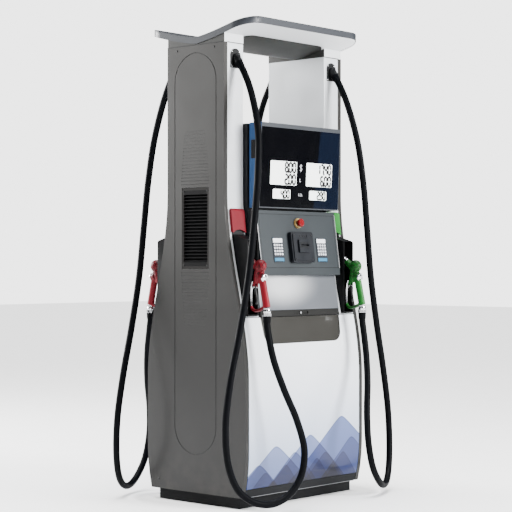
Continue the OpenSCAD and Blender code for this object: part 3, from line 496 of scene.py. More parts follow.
def vent_paint():
    """Black louvres inside a frame painted like the side panels."""
    s = plastic("vent_paint", *LOUVRE_LOOK)
    low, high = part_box("vent_grilles")
    sides = s.math("GREATER_THAN", s.size(s.axis("Y")), high.y - VENT_BORDER)
    top = s.math("GREATER_THAN", s.axis("Z"), high.z - VENT_BORDER)
    bottom = s.math("LESS_THAN", s.axis("Z"), low.z + VENT_BORDER)
    frame_mask = s.math("MAXIMUM", sides, s.math("MAXIMUM", top, bottom))
    s.paint_over(frame_mask, srgb(32, 31, 30))


def soffit_paint():
    """Silver below, with the dark end faces that meet the side panels."""
    s = paint("soffit_paint", srgb(206, 208, 210), 0.4, 0.05, 0.15, 0.05, 0.0)
    s.paint_over(s.sideways(), srgb(40, 40, 38))


def lcd_screen():
    s = Shader("lcd_screen", (0.8, 0.84, 0.82), 0.25, Emission_Strength=1.6,
               Emission_Color=(0.86, 0.92, 0.9, 1.0))
    s.vary(0.05, 60.0)
    s.bump(s.noise(2500.0, 1.0), 0.00005, 0.2)


# Where the glass's painted navy reflection starts at the ground, and how much further right per
# metre up.
REFLECTION_X = -0.04
REFLECTION_LEAN = 0.1


def black_glass():
    """Glass printed black from behind, with a painted navy reflection down one side."""
    s = Shader("black_glass", (0.0012, 0.0013, 0.002), 0.1, Specular_IOR_Level=0.22)
    edge = s.minus(s.across(), s.times(s.axis("Z"), REFLECTION_LEAN))
    # Painted reflection: a navy band with a slanted edge.
    s.paint_over(s.range(edge, REFLECTION_X, REFLECTION_X + 0.006), (0.0026, 0.0046, 0.011))
    s.vary(0.15, 5.0)
    s.rough(0.08, 0.14, 12.0)


def make_materials():
    for make, looks in ((paint, PAINTS), (plastic, PLASTICS), (knurled, VINYLS),
                        (metal, METALS), (rubber, RUBBERS)):
        for name, look in looks.items():
            make(name, *look)
    for make in (side_panel_paint, door_paint, display_door_paint, apron_paint, vent_paint,
                 soffit_paint, lcd_screen, black_glass):
        make()


# The material of the CAD nodes whose names start like this; the longest start counts.
NODE_LOOKS = {
    "base_frame": "plinth_paint", "steel_frame": "steel_paint", "vent_grilles": "vent_paint",
    "canopy_top": "canopy_paint", "canopy_underside": "soffit_paint",
    "canopy_liner": "liner_paint", "head_box": "head_paint", "keypads": "key_plate",
    "card_readers": "dark_plastic", "aprons": "apron_paint", "shelves": "shelf_paint",
    "kick_rails": "kick_paint", "grade_caps_red": "red_plastic",
    "grade_caps_green": "green_plastic", "hose_outlets": "black_plastic",
    "estop_collars": "yellow_plastic", "motor": "motor_paint", "pump_units": "cast_aluminium",
    "drive_belts": "belt_rubber", "flow_meters": "aluminium", "pipework": "brass",
    "electronics": "circuit_board", "motor_pulleys": "cast_iron", "pump_pulleys": "cast_iron",
    "side_panel": "side_panel_paint", "column": "column_paint", "console": "console_paint",
    "nozzle_boots": "black_plastic", "lower_door": "door_paint", "door_lock": "chrome",
    "display_door": "display_door_paint", "display_glass": "black_glass",
    "lcd_modules": "circuit_board", "estop_button": "red_button",
}
SOFT_EDGED = ("side_panel", "column", "console", "lower_door", "display_door", "canopy_top",
              "aprons", "shelves", "nozzle_boots", "grade_caps", "base_frame", "kick_rails")
WELD_GAP = 0.00002
SOFT_EDGE = 0.0009


def dress_nodes():
    """Gives every CAD node its material, and the housings slightly rounded edges."""
    for name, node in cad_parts.items():
        starts = [start for start in NODE_LOOKS if name.startswith(start)]
        if not starts:
            continue
        node.data.materials.clear()
        node.data.materials.append(MATERIALS[NODE_LOOKS[max(starts, key=len)]])
        weld = node.modifiers.new("weld", "WELD")
        weld.merge_threshold = WELD_GAP
        if name.startswith(SOFT_EDGED):
            bevel = node.modifiers.new("soft_edges", "BEVEL")
            bevel.width = SOFT_EDGE
            bevel.segments = 2
            bevel.limit_method = "ANGLE"
            bevel.angle_limit = math.radians(50)
            bevel.harden_normals = True


# ---- mesh helpers ----

def piece(name, mesh, body, material):
    """Links a finished mesh as a piece, and rides it on a body if one is given."""
    obj = add_object(name, mesh)
    mesh.materials.clear()
    mesh.materials.append(MATERIALS[material])
    if body:
        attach(obj, body)
    return obj


def from_bmesh(bm, name, angle=35.0, weld=False):
    if weld:
        bmesh.ops.remove_doubles(bm, verts=bm.verts, dist=1e-6)
    bmesh.ops.recalc_face_normals(bm, faces=bm.faces)
    mesh = bpy.data.meshes.new(name)
    bm.to_mesh(mesh)
    bm.free()
    for polygon in mesh.polygons:
        polygon.use_smooth = True
    mesh.set_sharp_from_angle(angle=math.radians(angle))
    return mesh


def solid(bm, name, material, body="root", weld=False):
    """Makes a finished bmesh into a piece."""
    return piece(name, from_bmesh(bm, name, weld=weld), body, material)


def new_parts(*kinds):
    return {kind: bmesh.new() for kind in kinds}


def shift(x, y, z=0.0):
    return Matrix.Translation((x, y, z))


def turn_about(axis, degrees):
    return Matrix.Rotation(math.radians(degrees), 4, axis)


def frame_along(way):
    """Two unit vectors square to a direction."""
    way = way.normalized()
    first = way.cross(Vector((0, 0, 1)))
    if first.length < 0.05:
        first = way.cross(Vector((0, 1, 0)))
    first.normalize()
    return first, way.cross(first).normalized()


def skin(bm, rings):
    """Faces between rings of equally many points; a ring of one point closes an end."""
    for lower, upper in zip(rings, rings[1:]):
        count = max(len(lower), len(upper))
        for k in range(count):
            j = (k + 1) % count
            if len(lower) == 1:
                bm.faces.new((lower[0], upper[j], upper[k]))
            elif len(upper) == 1:
                bm.faces.new((lower[k], lower[j], upper[0]))
            else:
                bm.faces.new((lower[k], lower[j], upper[j], upper[k]))


def tube(bm, path, radii, sides=16, squash=1.0, caps=True):
    """Sweeps a round or oval section along points, without twisting."""
    points = [Vector(p) for p in path]
    if isinstance(radii, (int, float)):
        radii = [radii] * len(points)
    rings = []
    first = None
    for i, point in enumerate(points):
        way = (points[min(i + 1, len(points) - 1)] - points[max(i - 1, 0)]).normalized()
        if first is None:
            first, _ = frame_along(way)
        first = (first - way * first.dot(way)).normalized()
        second = way.cross(first)
        ring = []
        for k in range(sides):
            a = 2 * math.pi * k / sides
            offset = first * math.cos(a) * squash + second * math.sin(a)
            ring.append(bm.verts.new(point + offset * radii[i]))
        rings.append(ring)
    skin(bm, rings)
    if caps:
        bm.faces.new(list(reversed(rings[0])))
        bm.faces.new(rings[-1])


def lathe(bm, profile, origin, way, segments=32):
    """Turns (radius, height) points about an axis; radius 0 closes an end."""
    first, second = frame_along(Vector(way))
    way = Vector(way).normalized()
    origin = Vector(origin)
    rings = []
    for radius, height in profile:
        centre = origin + way * height
        if radius < 1e-6:
            rings.append([bm.verts.new(centre)])
            continue
        ring = []
        for k in range(segments):
            a = 2 * math.pi * k / segments
            ring.append(bm.verts.new(centre + radius * (first * math.cos(a)
                                                        + second * math.sin(a))))
        rings.append(ring)
    skin(bm, rings)


def box_at(bm, matrix, size):
    """A box centred on a matrix."""
    verts = bmesh.ops.create_cube(bm, size=1.0)["verts"]
    bmesh.ops.scale(bm, vec=size, verts=verts)
    bmesh.ops.transform(bm, matrix=matrix, verts=verts)


def spline(points, step):
    """Catmull-Rom curve through points, sampled about every step metres."""
    pts = [Vector(p) for p in points]
    pts = [2 * pts[0] - pts[1]] + pts + [2 * pts[-1] - pts[-2]]
    out = []
    for i in range(1, len(pts) - 2):
        a, b, c, d = pts[i - 1], pts[i], pts[i + 1], pts[i + 2]
        count = max(1, round((c - b).length / step))
        knots = [0.0]
        for p, q in ((a, b), (b, c), (c, d)):
            knots.append(knots[-1] + max(1e-6, (q - p).length) ** 0.5)
        for k in range(count):
            t = knots[1] + (knots[2] - knots[1]) * k / count
            l1 = a.lerp(b, (t - knots[0]) / (knots[1] - knots[0]))
            l2 = b.lerp(c, (t - knots[1]) / (knots[2] - knots[1]))
            l3 = c.lerp(d, (t - knots[2]) / (knots[3] - knots[2]))
            m1 = l1.lerp(l2, (t - knots[0]) / (knots[2] - knots[0]))
            m2 = l2.lerp(l3, (t - knots[1]) / (knots[3] - knots[1]))
            out.append(m1.lerp(m2, (t - knots[1]) / (knots[2] - knots[1])))
    out.append(pts[-2])
    return out


def moved(mesh, matrix):
    """A copy of a mesh, placed by a matrix, its faces kept outwards."""
    copy = mesh.copy()
    copy.transform(matrix)
    if matrix.determinant() < 0:
        copy.flip_normals()
    return copy


# ---- hoses ----

HOSE_R = 0.0165
HOSE_ROUTE = [
    (0.364, -0.212, 2.125), (0.364, -0.24, 2.085), (0.366, -0.29, 1.985),
    (0.378, -0.348, 1.79), (0.402, -0.368, 1.58), (0.432, -0.37, 1.34),
    (0.468, -0.367, 1.09), (0.524, -0.363, 0.84), (0.584, -0.359, 0.61),
    (0.619, -0.362, 0.4), (0.612, -0.376, 0.225), (0.57, -0.403, 0.112),
    (0.5, -0.442, 0.056), (0.424, -0.478, 0.046), (0.346, -0.508, 0.08),
    (0.276, -0.524, 0.16), (0.246, -0.522, 0.28), (0.268, -0.496, 0.42),
    (0.32, -0.459, 0.57), (0.354, -0.424, 0.71), (0.364, -0.397, 0.84),
    (0.364, -0.391, 0.882), (0.364, -0.391, 0.913),
]


def make_hoses():
    for side, face, sx, sy in CORNERS:
        route = [(sx * x, -sy * y, z) for x, y, z in HOSE_ROUTE]
        path = spline(route, 0.008)
        bm = bmesh.new()
        tube(bm, path, HOSE_R, 24)
        name = f"hose_{face}_{side}"
        hose = piece(name + "_tube", from_bmesh(bm, name), None, "hose_rubber")
        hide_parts(name)
        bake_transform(hose)


# ---- flat shapes on tilted faces ----

# Lower and upper edge of the front console and of the front display: depth and height.
CONSOLE_SLOPE = ((-0.3, 1.14), (-0.262, 1.41))
DOOR_LOW, DOOR_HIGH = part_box("display_door_front")
DISPLAY_SLOPE = ((DOOR_LOW.y + 0.017, DOOR_LOW.z), (DOOR_LOW.y, DOOR_HIGH.z))
GLASS_PROUD = 0.0003


def on_slope(x, z, slope, face, proud=0.0):
    """Matrix of a point on a sloping face: X across, Y up the face, Z outwards."""
    low, high = slope
    t = (z - low[1]) / (high[1] - low[1])
    y = low[0] + (high[0] - low[0]) * t
    up = Vector((0, high[0] - low[0], high[1] - low[1])).normalized()
    out = Vector((1, 0, 0)).cross(up)
    spot = Vector((x, y, z)) + out * proud
    matrix = Matrix.Translation(spot) @ Matrix(((1, 0, 0), up, out)).transposed().to_4x4()
    return face_matrix(face) @ matrix


def on_console(x, z, face, proud=0.0):
    return on_slope(x, z, CONSOLE_SLOPE, face, proud)


def on_display(x, z, face, proud=0.0):
    return on_slope(x, z, DISPLAY_SLOPE, face, proud)


def rounded(w, h, r, steps=6):
    """Outline of a rectangle with round corners."""
    points = []
    for cx, cy, start in ((1, 1, 0), (-1, 1, 90), (-1, -1, 180), (1, -1, 270)):
        for k in range(steps + 1):
            a = math.radians(start + 90 * k / steps)
            points.append((cx * (w / 2 - r) + r * math.cos(a),
                           cy * (h / 2 - r) + r * math.sin(a)))
    return points


def prism(bm, matrix, rings):
    """Closed solid through rings given as (outline, height)."""
    loops = [[bm.verts.new(matrix @ Vector((x, y, z))) for x, y in outline]
             for outline, z in rings]
    bm.faces.new(list(reversed(loops[0])))
    bm.faces.new(loops[-1])
    skin(bm, loops)


def cushion(bm, matrix, w, h, r, low, high, edge=0.0005):
    """A rounded plate whose upper edge is softened."""
    inner = rounded(w - 2 * edge, h - 2 * edge, max(r - edge, 0.0001))
    prism(bm, matrix, [(rounded(w, h, r), low), (rounded(w, h, r), high - edge), (inner, high)])


def dome(bm, matrix, r, height):
    """Low domed head of a screw or lamp."""
    origin = matrix @ Vector((0, 0, 0))
    way = (matrix.to_3x3() @ Vector((0, 0, 1))).normalized()
    rings = [(r, -0.0004), (r, height * 0.35), (r * 0.86, height * 0.75), (r * 0.5, height),
             (0.0, height * 1.04)]
    lathe(bm, [(0.0, -0.0004)] + rings, origin, way, 20)


SEGMENTS = {"0": "abcdef", "1": "bc", "2": "abged", "3": "abgcd", "4": "fgbc", "5": "afgcd",
            "6": "afgecd", "7": "abc", "8": "abcdefg", "9": "abcdfg"}


# Shares of a figure's height: its width, the width of a stroke and the gap to the next.
FIGURE_W = 0.42
FIGURE_STROKE = 0.24
FIGURE_GAP = 0.21


def segment_outline(length, t):
    """A bar with pointed ends."""
    a = length / 2
    return [(-a, 0), (t / 2 - a, -t / 2), (a - t / 2, -t / 2), (a, 0), (a - t / 2, t / 2),
            (t / 2 - a, t / 2)]


def number(bm, matrix, text, right, height, proud=0.00025):
    """Seven-segment figures that end at a right edge, on the plane of a matrix."""
    w = height * FIGURE_W
    t = height * FIGURE_STROKE
    step = w + height * FIGURE_GAP
    slots = {"a": (0, 0.5, 0), "g": (0, 0, 0), "d": (0, -0.5, 0), "f": (-0.5, 0.25, 90),
             "b": (0.5, 0.25, 90), "e": (-0.5, -0.25, 90), "c": (0.5, -0.25, 90)}
    x = right - w / 2
    for char in reversed(text):
        if char == ".":
            spot = matrix @ shift(x + w / 2 + height * 0.1, -height / 2)
            prism(bm, spot, [(rounded(t, t, t * 0.2, 2), 0), (rounded(t, t, t * 0.2, 2), proud)])
            continue
        for name in SEGMENTS[char]:
            u, v, turn = slots[name]
            length = (w if turn == 0 else height / 2) + t * 0.15
            spot = matrix @ shift(x + u * w, v * height) @ turn_about("Z", turn)
            outline = segment_outline(length, t)
            prism(bm, spot, [(outline, 0), (outline, proud)])
        x -= step


def stroke(bm, matrix, points, width, height=0.0003):
    """A flat line of short bars through points on the plane of a matrix."""
    for (x0, y0), (x1, y1) in zip(points, points[1:]):
        length = math.hypot(x1 - x0, y1 - y0)
        spot = matrix @ shift((x0 + x1) / 2, (y0 + y1) / 2) \
            @ Matrix.Rotation(math.atan2(y1 - y0, x1 - x0), 4, "Z")
        outline = rounded(length + width * 0.8, width, width * 0.4, 3)
        prism(bm, spot, [(outline, 0), (outline, height)])


# ---- displays ----

# Windows in the glass: centre across, centre height, width, height, rows of figures.
WINDOWS = [(-0.129, 1.602, 0.196, 0.116, ("8.00", "2.00")),
           (0.142, 1.602, 0.199, 0.116, ("17.40", "6.00")),
           (-0.139, 1.5, 0.13, 0.046, ("4.00",)),
           (0.136, 1.5, 0.132, 0.046, ("2.90",))]


PANE_R = 0.006
PANE_TOP = 0.0007
FIGURES_LOW = 0.0006
FIGURES_IN = 0.01
FIGURES_TALL = 0.78
DOLLAR_Z = 1.632
LITRE_Z = 1.572
PRICE_Z = 1.5


def bow(centre, turns):
    """One half of the S in a dollar sign."""
    return [(0.007 * math.cos(math.radians(a)), centre + 0.0065 * math.sin(math.radians(a)))
            for a in turns]


def make_display(face):
    body = f"display_door_{face}"
    parts = new_parts("panes", "figures", "marks")
    for x, z, w, h, rows in WINDOWS:
        cushion(parts["panes"], on_display(x, z, face, -0.0001), w, h, PANE_R, 0.0, PANE_TOP,
                0.0003)
        pitch = h / len(rows)
        for i, text in enumerate(rows):
            row_z = z + ((len(rows) - 1) / 2 - i) * pitch
            plane = on_display(x, row_z, face, FIGURES_LOW)
            number(parts["figures"], plane, text, w / 2 - FIGURES_IN, pitch * FIGURES_TALL)
    marks = parts["marks"]
    dollar = on_display(0.0, DOLLAR_Z, face, GLASS_PROUD)
    curve = bow(0.0065, range(30, 271, 30)) + bow(-0.0065, range(90, -151, -30))
    stroke(marks, dollar, curve, 0.0032)
    stroke(marks, dollar, [(0, 0.018), (0, -0.018)], 0.0022)
    litre = on_display(-0.002, LITRE_Z, face, GLASS_PROUD)
    stroke(marks, litre, [(-0.004, 0.007), (-0.004, -0.007), (0.004, -0.007)], 0.0024)
    for x, tall in ((-0.012, 0.005), (0.0, 0.006), (0.01, 0.005)):
        spot = on_display(x, PRICE_Z, face, GLASS_PROUD)
        stroke(marks, spot, [(0, tall), (0, -tall), (0.005, -tall)], 0.0019)
    for kind, material, slot in (("panes", "lcd_screen", "lcd_modules"),
                                 ("figures", "dark_print_and_shade", "lcd_modules"),
                                 ("marks", "print_white", "display_glass")):
        solid(parts[kind], f"display_{kind}_{face}", material, body)


LATCH_Y = -0.25
LATCH_Z = 1.712


def make_door_latch(face):
    """Black recessed lock on the side of a display door."""
    plane = face_matrix(face) @ shift(DOOR_LOW.x, LATCH_Y, LATCH_Z) \
        @ turn_about("Y", -90) @ turn_about("Z", 90)
    bm = bmesh.new()
    cushion(bm, plane, 0.03, 0.09, 0.005, -0.001, 0.0035, 0.001)
    cushion(bm, plane @ shift(0, 0.006), 0.02, 0.06, 0.004, 0.003, 0.005, 0.0008)
    dome(bm, plane @ shift(0, -0.034, 0.0035), 0.005, 0.0014)
    solid(bm, f"door_latch_{face}", "black_plastic", f"display_door_{face}")


# ---- consoles ----

KEYPAD_X = 0.165
KEYPAD_Z = 1.228
KEYPAD_LOW = 0.0025
STRIP_W = 0.0672
KEY_STEP_X = 0.017
KEY_STEP_Z = 0.015
KEY_TOP = 0.0054
KEY_LABELS = ["123", "456", "789", "0"]


def make_keypads(face):
    """Window strip, four rows of keys and a blue bar; keys without a figure have a dash."""
    parts = new_parts("keys", "bars", "labels", "windows")
    for centre in (-KEYPAD_X, KEYPAD_X):
        plane = on_console(centre, KEYPAD_Z, face)
        cushion(parts["windows"], plane @ shift(0, 0.046), STRIP_W, 0.0212, 0.0025,
                KEYPAD_LOW, 0.004)
        cushion(parts["bars"], plane @ shift(0, -0.047), STRIP_W, 0.0152, 0.0022,
                KEYPAD_LOW, 0.0042)
        for i in range(4):
            for j, row in enumerate(KEY_LABELS):
                x = (i - 1.5) * KEY_STEP_X
                y = 0.024 - j * KEY_STEP_Z
                top = plane @ shift(x, y, KEY_TOP)
                cushion(parts["keys"], plane @ shift(x, y), 0.012, 0.0098, 0.002, 0.0024,
                        KEY_TOP, 0.0009)
                if i < len(row):
                    number(parts["labels"], top, row[i], 0.0015, 0.0052, 0.00012)
                else:
                    stroke(parts["labels"], top, [(-0.003, 0), (0.003, 0)], 0.0012, 0.00012)
        for x in (-0.031, 0.031):
            for y in (-0.0575, 0.0575):
                dome(parts["bars"], plane @ shift(x, y, KEYPAD_LOW), 0.0016, 0.0007)
    for kind, material in (("keys", "key_silver"), ("bars", "key_blue"),
                           ("labels", "dark_print_and_shade"), ("windows", "print_white")):
        solid(parts[kind], f"keypad_{kind}_{face}", material)


READER_UP = 0.012
READER_TOP = 0.0365


def make_reader_details(face):
    """Screws, status lamps and a raised lip round the card slot."""
    plane = on_console(0.0, KEYPAD_Z + READER_UP, face)
    parts = new_parts("screws", "lamps", "lip")
    for x in (-0.064, 0.064):
        for y in (-0.058, 0.058):
            dome(parts["screws"], plane @ shift(x, y, 0.027), 0.0042, 0.0016)
    for x in (-0.018, 0.0, 0.018):
        dome(parts["lamps"], plane @ shift(x, 0.054, 0.0252), 0.0034, 0.0018)
    for y in (-0.0013, 0.0173):
        cushion(parts["lip"], plane @ shift(0, y), 0.07, 0.004, 0.0018, READER_TOP, 0.0392)
    for kind, bm in parts.items():
        solid(bm, f"reader_{kind}_{face}", "black_plastic")


APRON_TOP_Y = -0.268
TRIM_W = 0.0036
LINE_IN = 0.015


def make_console_trims(face):
    """Bright edge strips on the console and apron, and fine dark lines of painted shade beside them
    and across the console.
    """
    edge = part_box("console_front")[1].x - 0.002
    low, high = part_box("aprons")
    apron = ((low.y, low.z), (APRON_TOP_Y, high.z))
    console_z = (CONSOLE_SLOPE[0][1] + CONSOLE_SLOPE[1][1]) / 2
    trims, lines = bmesh.new(), bmesh.new()
    for x in (-edge, edge):
        cushion(trims, on_console(x, console_z, face), TRIM_W, 0.272, 0.0015, -0.001, 0.0012)
        cushion(trims, on_slope(x, (low.z + high.z) / 2, apron, face), TRIM_W, 0.16, 0.0015,
                -0.001, 0.0012)
    # Painted shade: thin dark strips where the grooves beside the trims and the folds across the
    # console fall in shadow.
    for x in (LINE_IN - edge, edge - LINE_IN):
        cushion(lines, on_console(x, console_z, face), 0.0016, 0.268, 0.0007, -0.001, 0.0003,
                0.0002)
    for z in (1.402, 1.142):
        cushion(lines, on_console(0.0, z, face), 0.59, 0.0022, 0.0009, -0.001, 0.0003, 0.0002)
    solid(trims, f"console_trims_{face}", "aluminium")
    solid(lines, f"console_shade_lines_{face}", "dark_print_and_shade")


ESTOP_Z = 1.36


def make_estop_ring(face):
    """Brass ring on the collar round the stop button."""
    plane = on_console(0.0, ESTOP_Z, face)
    bm = bmesh.new()
    way = (plane.to_3x3() @ Vector((0, 0, 1))).normalized()
    profile = [(0.0118, 0.008), (0.0225, 0.008), (0.0235, 0.0095), (0.0225, 0.0112),
               (0.0205, 0.0112), (0.018, 0.0092), (0.0118, 0.009), (0.0118, 0.008)]
    lathe(bm, profile, plane.translation, way, 48)
    solid(bm, f"estop_ring_{face}", "brass", weld=True)


# ---- small fittings on the cabinet ----

SEAM_THICK = 0.0016
SEAM_TALL = 0.0032
SEAM_COLUMN_W = 0.112


def make_seams():
    """Dark shadow gaps where the canopy sits on the side panels and columns."""
    bm = bmesh.new()
    for sx in (-1, 1):
        box_at(bm, shift(sx * (PANEL_FACE - 0.0002), 0, PANEL_TOP),
               (SEAM_THICK, 2 * UPPER_DEPTH, SEAM_TALL))
        for sy in (-1, 1):
            box_at(bm, shift(sx * HOSE_X, sy * UPPER_DEPTH, PANEL_TOP),
                   (SEAM_COLUMN_W, SEAM_THICK, SEAM_TALL))
    solid(bm, "canopy_seams", "dark_print_and_shade")


# Sheets of painted shade behind the grilles: thickness, gap and how much smaller than the grille.
SHADE_SHEET_THICK = 0.0008
SHADE_SHEET_GAP = 0.0006
SHADE_SHEET_SMALLER = 0.004


def make_vent_shade_sheets():
    """Black sheet of painted shade behind each grille, between the louvres and the column."""
    low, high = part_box("vent_grilles")
    bm = bmesh.new()
    size = (SHADE_SHEET_THICK, high.y - low.y - SHADE_SHEET_SMALLER, high.z - low.z - SHADE_SHEET_SMALLER)
    for sign in (-1, 1):
        box_at(bm, shift(sign * (PANEL_INSIDE + SHADE_SHEET_GAP), 0, (low.z + high.z) / 2), size)
    solid(bm, "vent_shade_sheets", "louvre_black")


def make_cabinet_screws():
    """Screws at the corners of the grilles and of the side panels."""
    bm = bmesh.new()
    vent_low, vent_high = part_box("vent_grilles")
    for sign in (-1, 1):
        turn = turn_about("Y", 90 * sign)
        for y in (-0.08, 0.08):
            for z in (vent_low.z + 0.017, vent_high.z - 0.017):
                dome(bm, shift(sign * (PANEL_FACE - 0.001), y, z) @ turn, 0.0045, 0.0018)
        for y, z in ((0.125, PANEL_TOP - 0.02), (0.25, PANEL_LOW + 0.045)):
            for sy in (-1, 1):
                dome(bm, shift(sign * PANEL_FACE, sy * y, z) @ turn, 0.005, 0.0018)
    solid(bm, "cabinet_screws", "black_plastic")


PLATE_THICK = 0.002
OUTLET_AT = (0.212, 2.125)
OUTLET_WAY = (0.573, -0.819)


def make_outlet_fittings():
    """Screws on each hose outlet's plate and a rubber ferrule where the hose leaves it."""
    screws, collars = bmesh.new(), bmesh.new()
    profile = [(0.016, -0.004), (0.02, -0.004), (0.0205, 0.004), (0.0192, 0.007),
               (0.0192, 0.02), (0.0184, 0.026), (0.016, 0.03), (0.016, -0.004)]
    for side, face, sx, sy in CORNERS:
        for x in (-0.026, 0.026):
            for z in (2.108, 2.178):
                spot = shift(sx * HOSE_X + x, sy * (UPPER_DEPTH + PLATE_THICK), z)
                dome(screws, spot @ turn_about("X", -90 * sy), 0.0036, 0.0016)
        start = Vector((sx * HOSE_X, sy * OUTLET_AT[0], OUTLET_AT[1]))
        lathe(collars, profile, start, (0, sy * OUTLET_WAY[0], OUTLET_WAY[1]), 32)
    solid(screws, "outlet_screws", "chrome")
    solid(collars, "outlet_collars", "hose_rubber", weld=True)


BACKING_LOW = 1.29
BACKING_HIGH = 1.352
BACKING_GAP = 0.0005


def make_boot_backings():
    """Dark plate on each column between the boot's mouth and the cap above it."""
    bm = bmesh.new()
    slope = [(-half_depth(z) - BACKING_GAP, z) for z in (BACKING_LOW, BACKING_HIGH)]
    for face in FACES:
        for sx in (-1, 1):
            plane = on_slope(sx * HOSE_X, (BACKING_LOW + BACKING_HIGH) / 2, slope, face)
            cushion(bm, plane, 0.08, 0.058, 0.008, -0.001, 0.002, 0.0008)
    solid(bm, "boot_backings", "black_plastic")


# ---- nozzles ----

LEVER_PIN = Vector((0, -0.316, 1.05))
HEAD = Vector((0, -0.35, 1.149))
HEAD_R = 0.03
HEAD_SQUASH = 0.84
SWIVEL = Vector((0, -0.391, 0.913))


def yz(*points):
    return [Vector((0, y, z)) for y, z in points]

def voxel_solid(bm, name, voxel, rounds):
    """Melts joined primitives into one smooth moulded skin."""
    obj = add_object(name, from_bmesh(bm, name))
    remesh = obj.modifiers.new("remesh", "REMESH")
    remesh.mode = "VOXEL"
    remesh.voxel_size = voxel
    soften = obj.modifiers.new("soften", "SMOOTH")
    soften.iterations = rounds
    soften.factor = 0.5
    graph = bpy.context.evaluated_depsgraph_get()
    done = bpy.data.meshes.new_from_object(obj.evaluated_get(graph))
    bpy.data.objects.remove(obj)
    for polygon in done.polygons:
        polygon.use_smooth = True
    return done


def nozzle_body_mesh():
    """Moulded body: head, neck, trigger housing, grip, lower guard and pin ears."""
    bm = bmesh.new()
    ball = bmesh.ops.create_uvsphere(bm, u_segments=32, v_segments=20, radius=HEAD_R)
    bmesh.ops.scale(bm, vec=(HEAD_SQUASH, 1, 1), verts=ball["verts"])
    bmesh.ops.translate(bm, vec=HEAD, verts=ball["verts"])
    tube(bm, yz((-0.352, 1.138), (-0.325, 1.148), (-0.3, 1.167), (-0.293, 1.1735)),
         [0.02, 0.0185, 0.0165, 0.0165], 24)
    tube(bm, yz((-0.352, 1.15), (-0.34, 1.12), (-0.333, 1.09), (-0.33, 1.068)),
         [0.024, 0.0235, 0.0215, 0.0175], 24, 0.86)
    tube(bm, yz((-0.348, 1.12), (-0.358, 1.092), (-0.366, 1.066), (-0.378, 1.012),
                (-0.386, 0.975), (-0.39, 0.955)),
         [0.02, 0.02, 0.0182, 0.018, 0.0185, 0.019], 24, 0.92)
    tube(bm, yz((-0.352, 1.098), (-0.376, 1.092)), [0.0225, 0.0215], 28)
    tube(bm, yz((-0.386, 0.962), (-0.366, 0.951), (-0.342, 0.941), (-0.316, 0.938),
                (-0.298, 0.946), (-0.291, 0.96)),
         [0.01, 0.0085, 0.0075, 0.0075, 0.0075, 0.0068], 16, 1.15)
    for x in (-0.0095, 0.0095):
        ear = [Vector((x, y, z)) for y, z in ((-0.318, 1.074), (-0.316, 1.06), (-0.316, 1.05))]
        tube(bm, ear, [0.0095, 0.009, 0.008], 16, 0.28)
    return voxel_solid(bm, "nozzle_body", 0.0016, 4)


def nozzle_head_mesh():
    """Knurled round cover: raised diamonds on a squashed ball."""
    bm = bmesh.new()
    around, along = 72, 36
    rows = []
    for i in range(1, along):
        polar = math.pi * i / along
        row = []
        for k in range(around):
            a = 2 * math.pi * (k + 0.5 * (i % 2)) / around
            lift = 0.0011 if (k + i // 2) % 2 == 0 else 0.0
            r = HEAD_R + 0.0008 + lift * math.sin(polar) ** 0.5
            row.append(bm.verts.new(HEAD + Vector((
                HEAD_SQUASH * r * math.cos(polar), r * math.sin(polar) * math.cos(a),
                r * math.sin(polar) * math.sin(a)))))
        rows.append(row)
    skin(bm, rows)
    for row in (rows[0], rows[-1]):
        bm.faces.new(row)
    return from_bmesh(bm, "nozzle_head", 60)


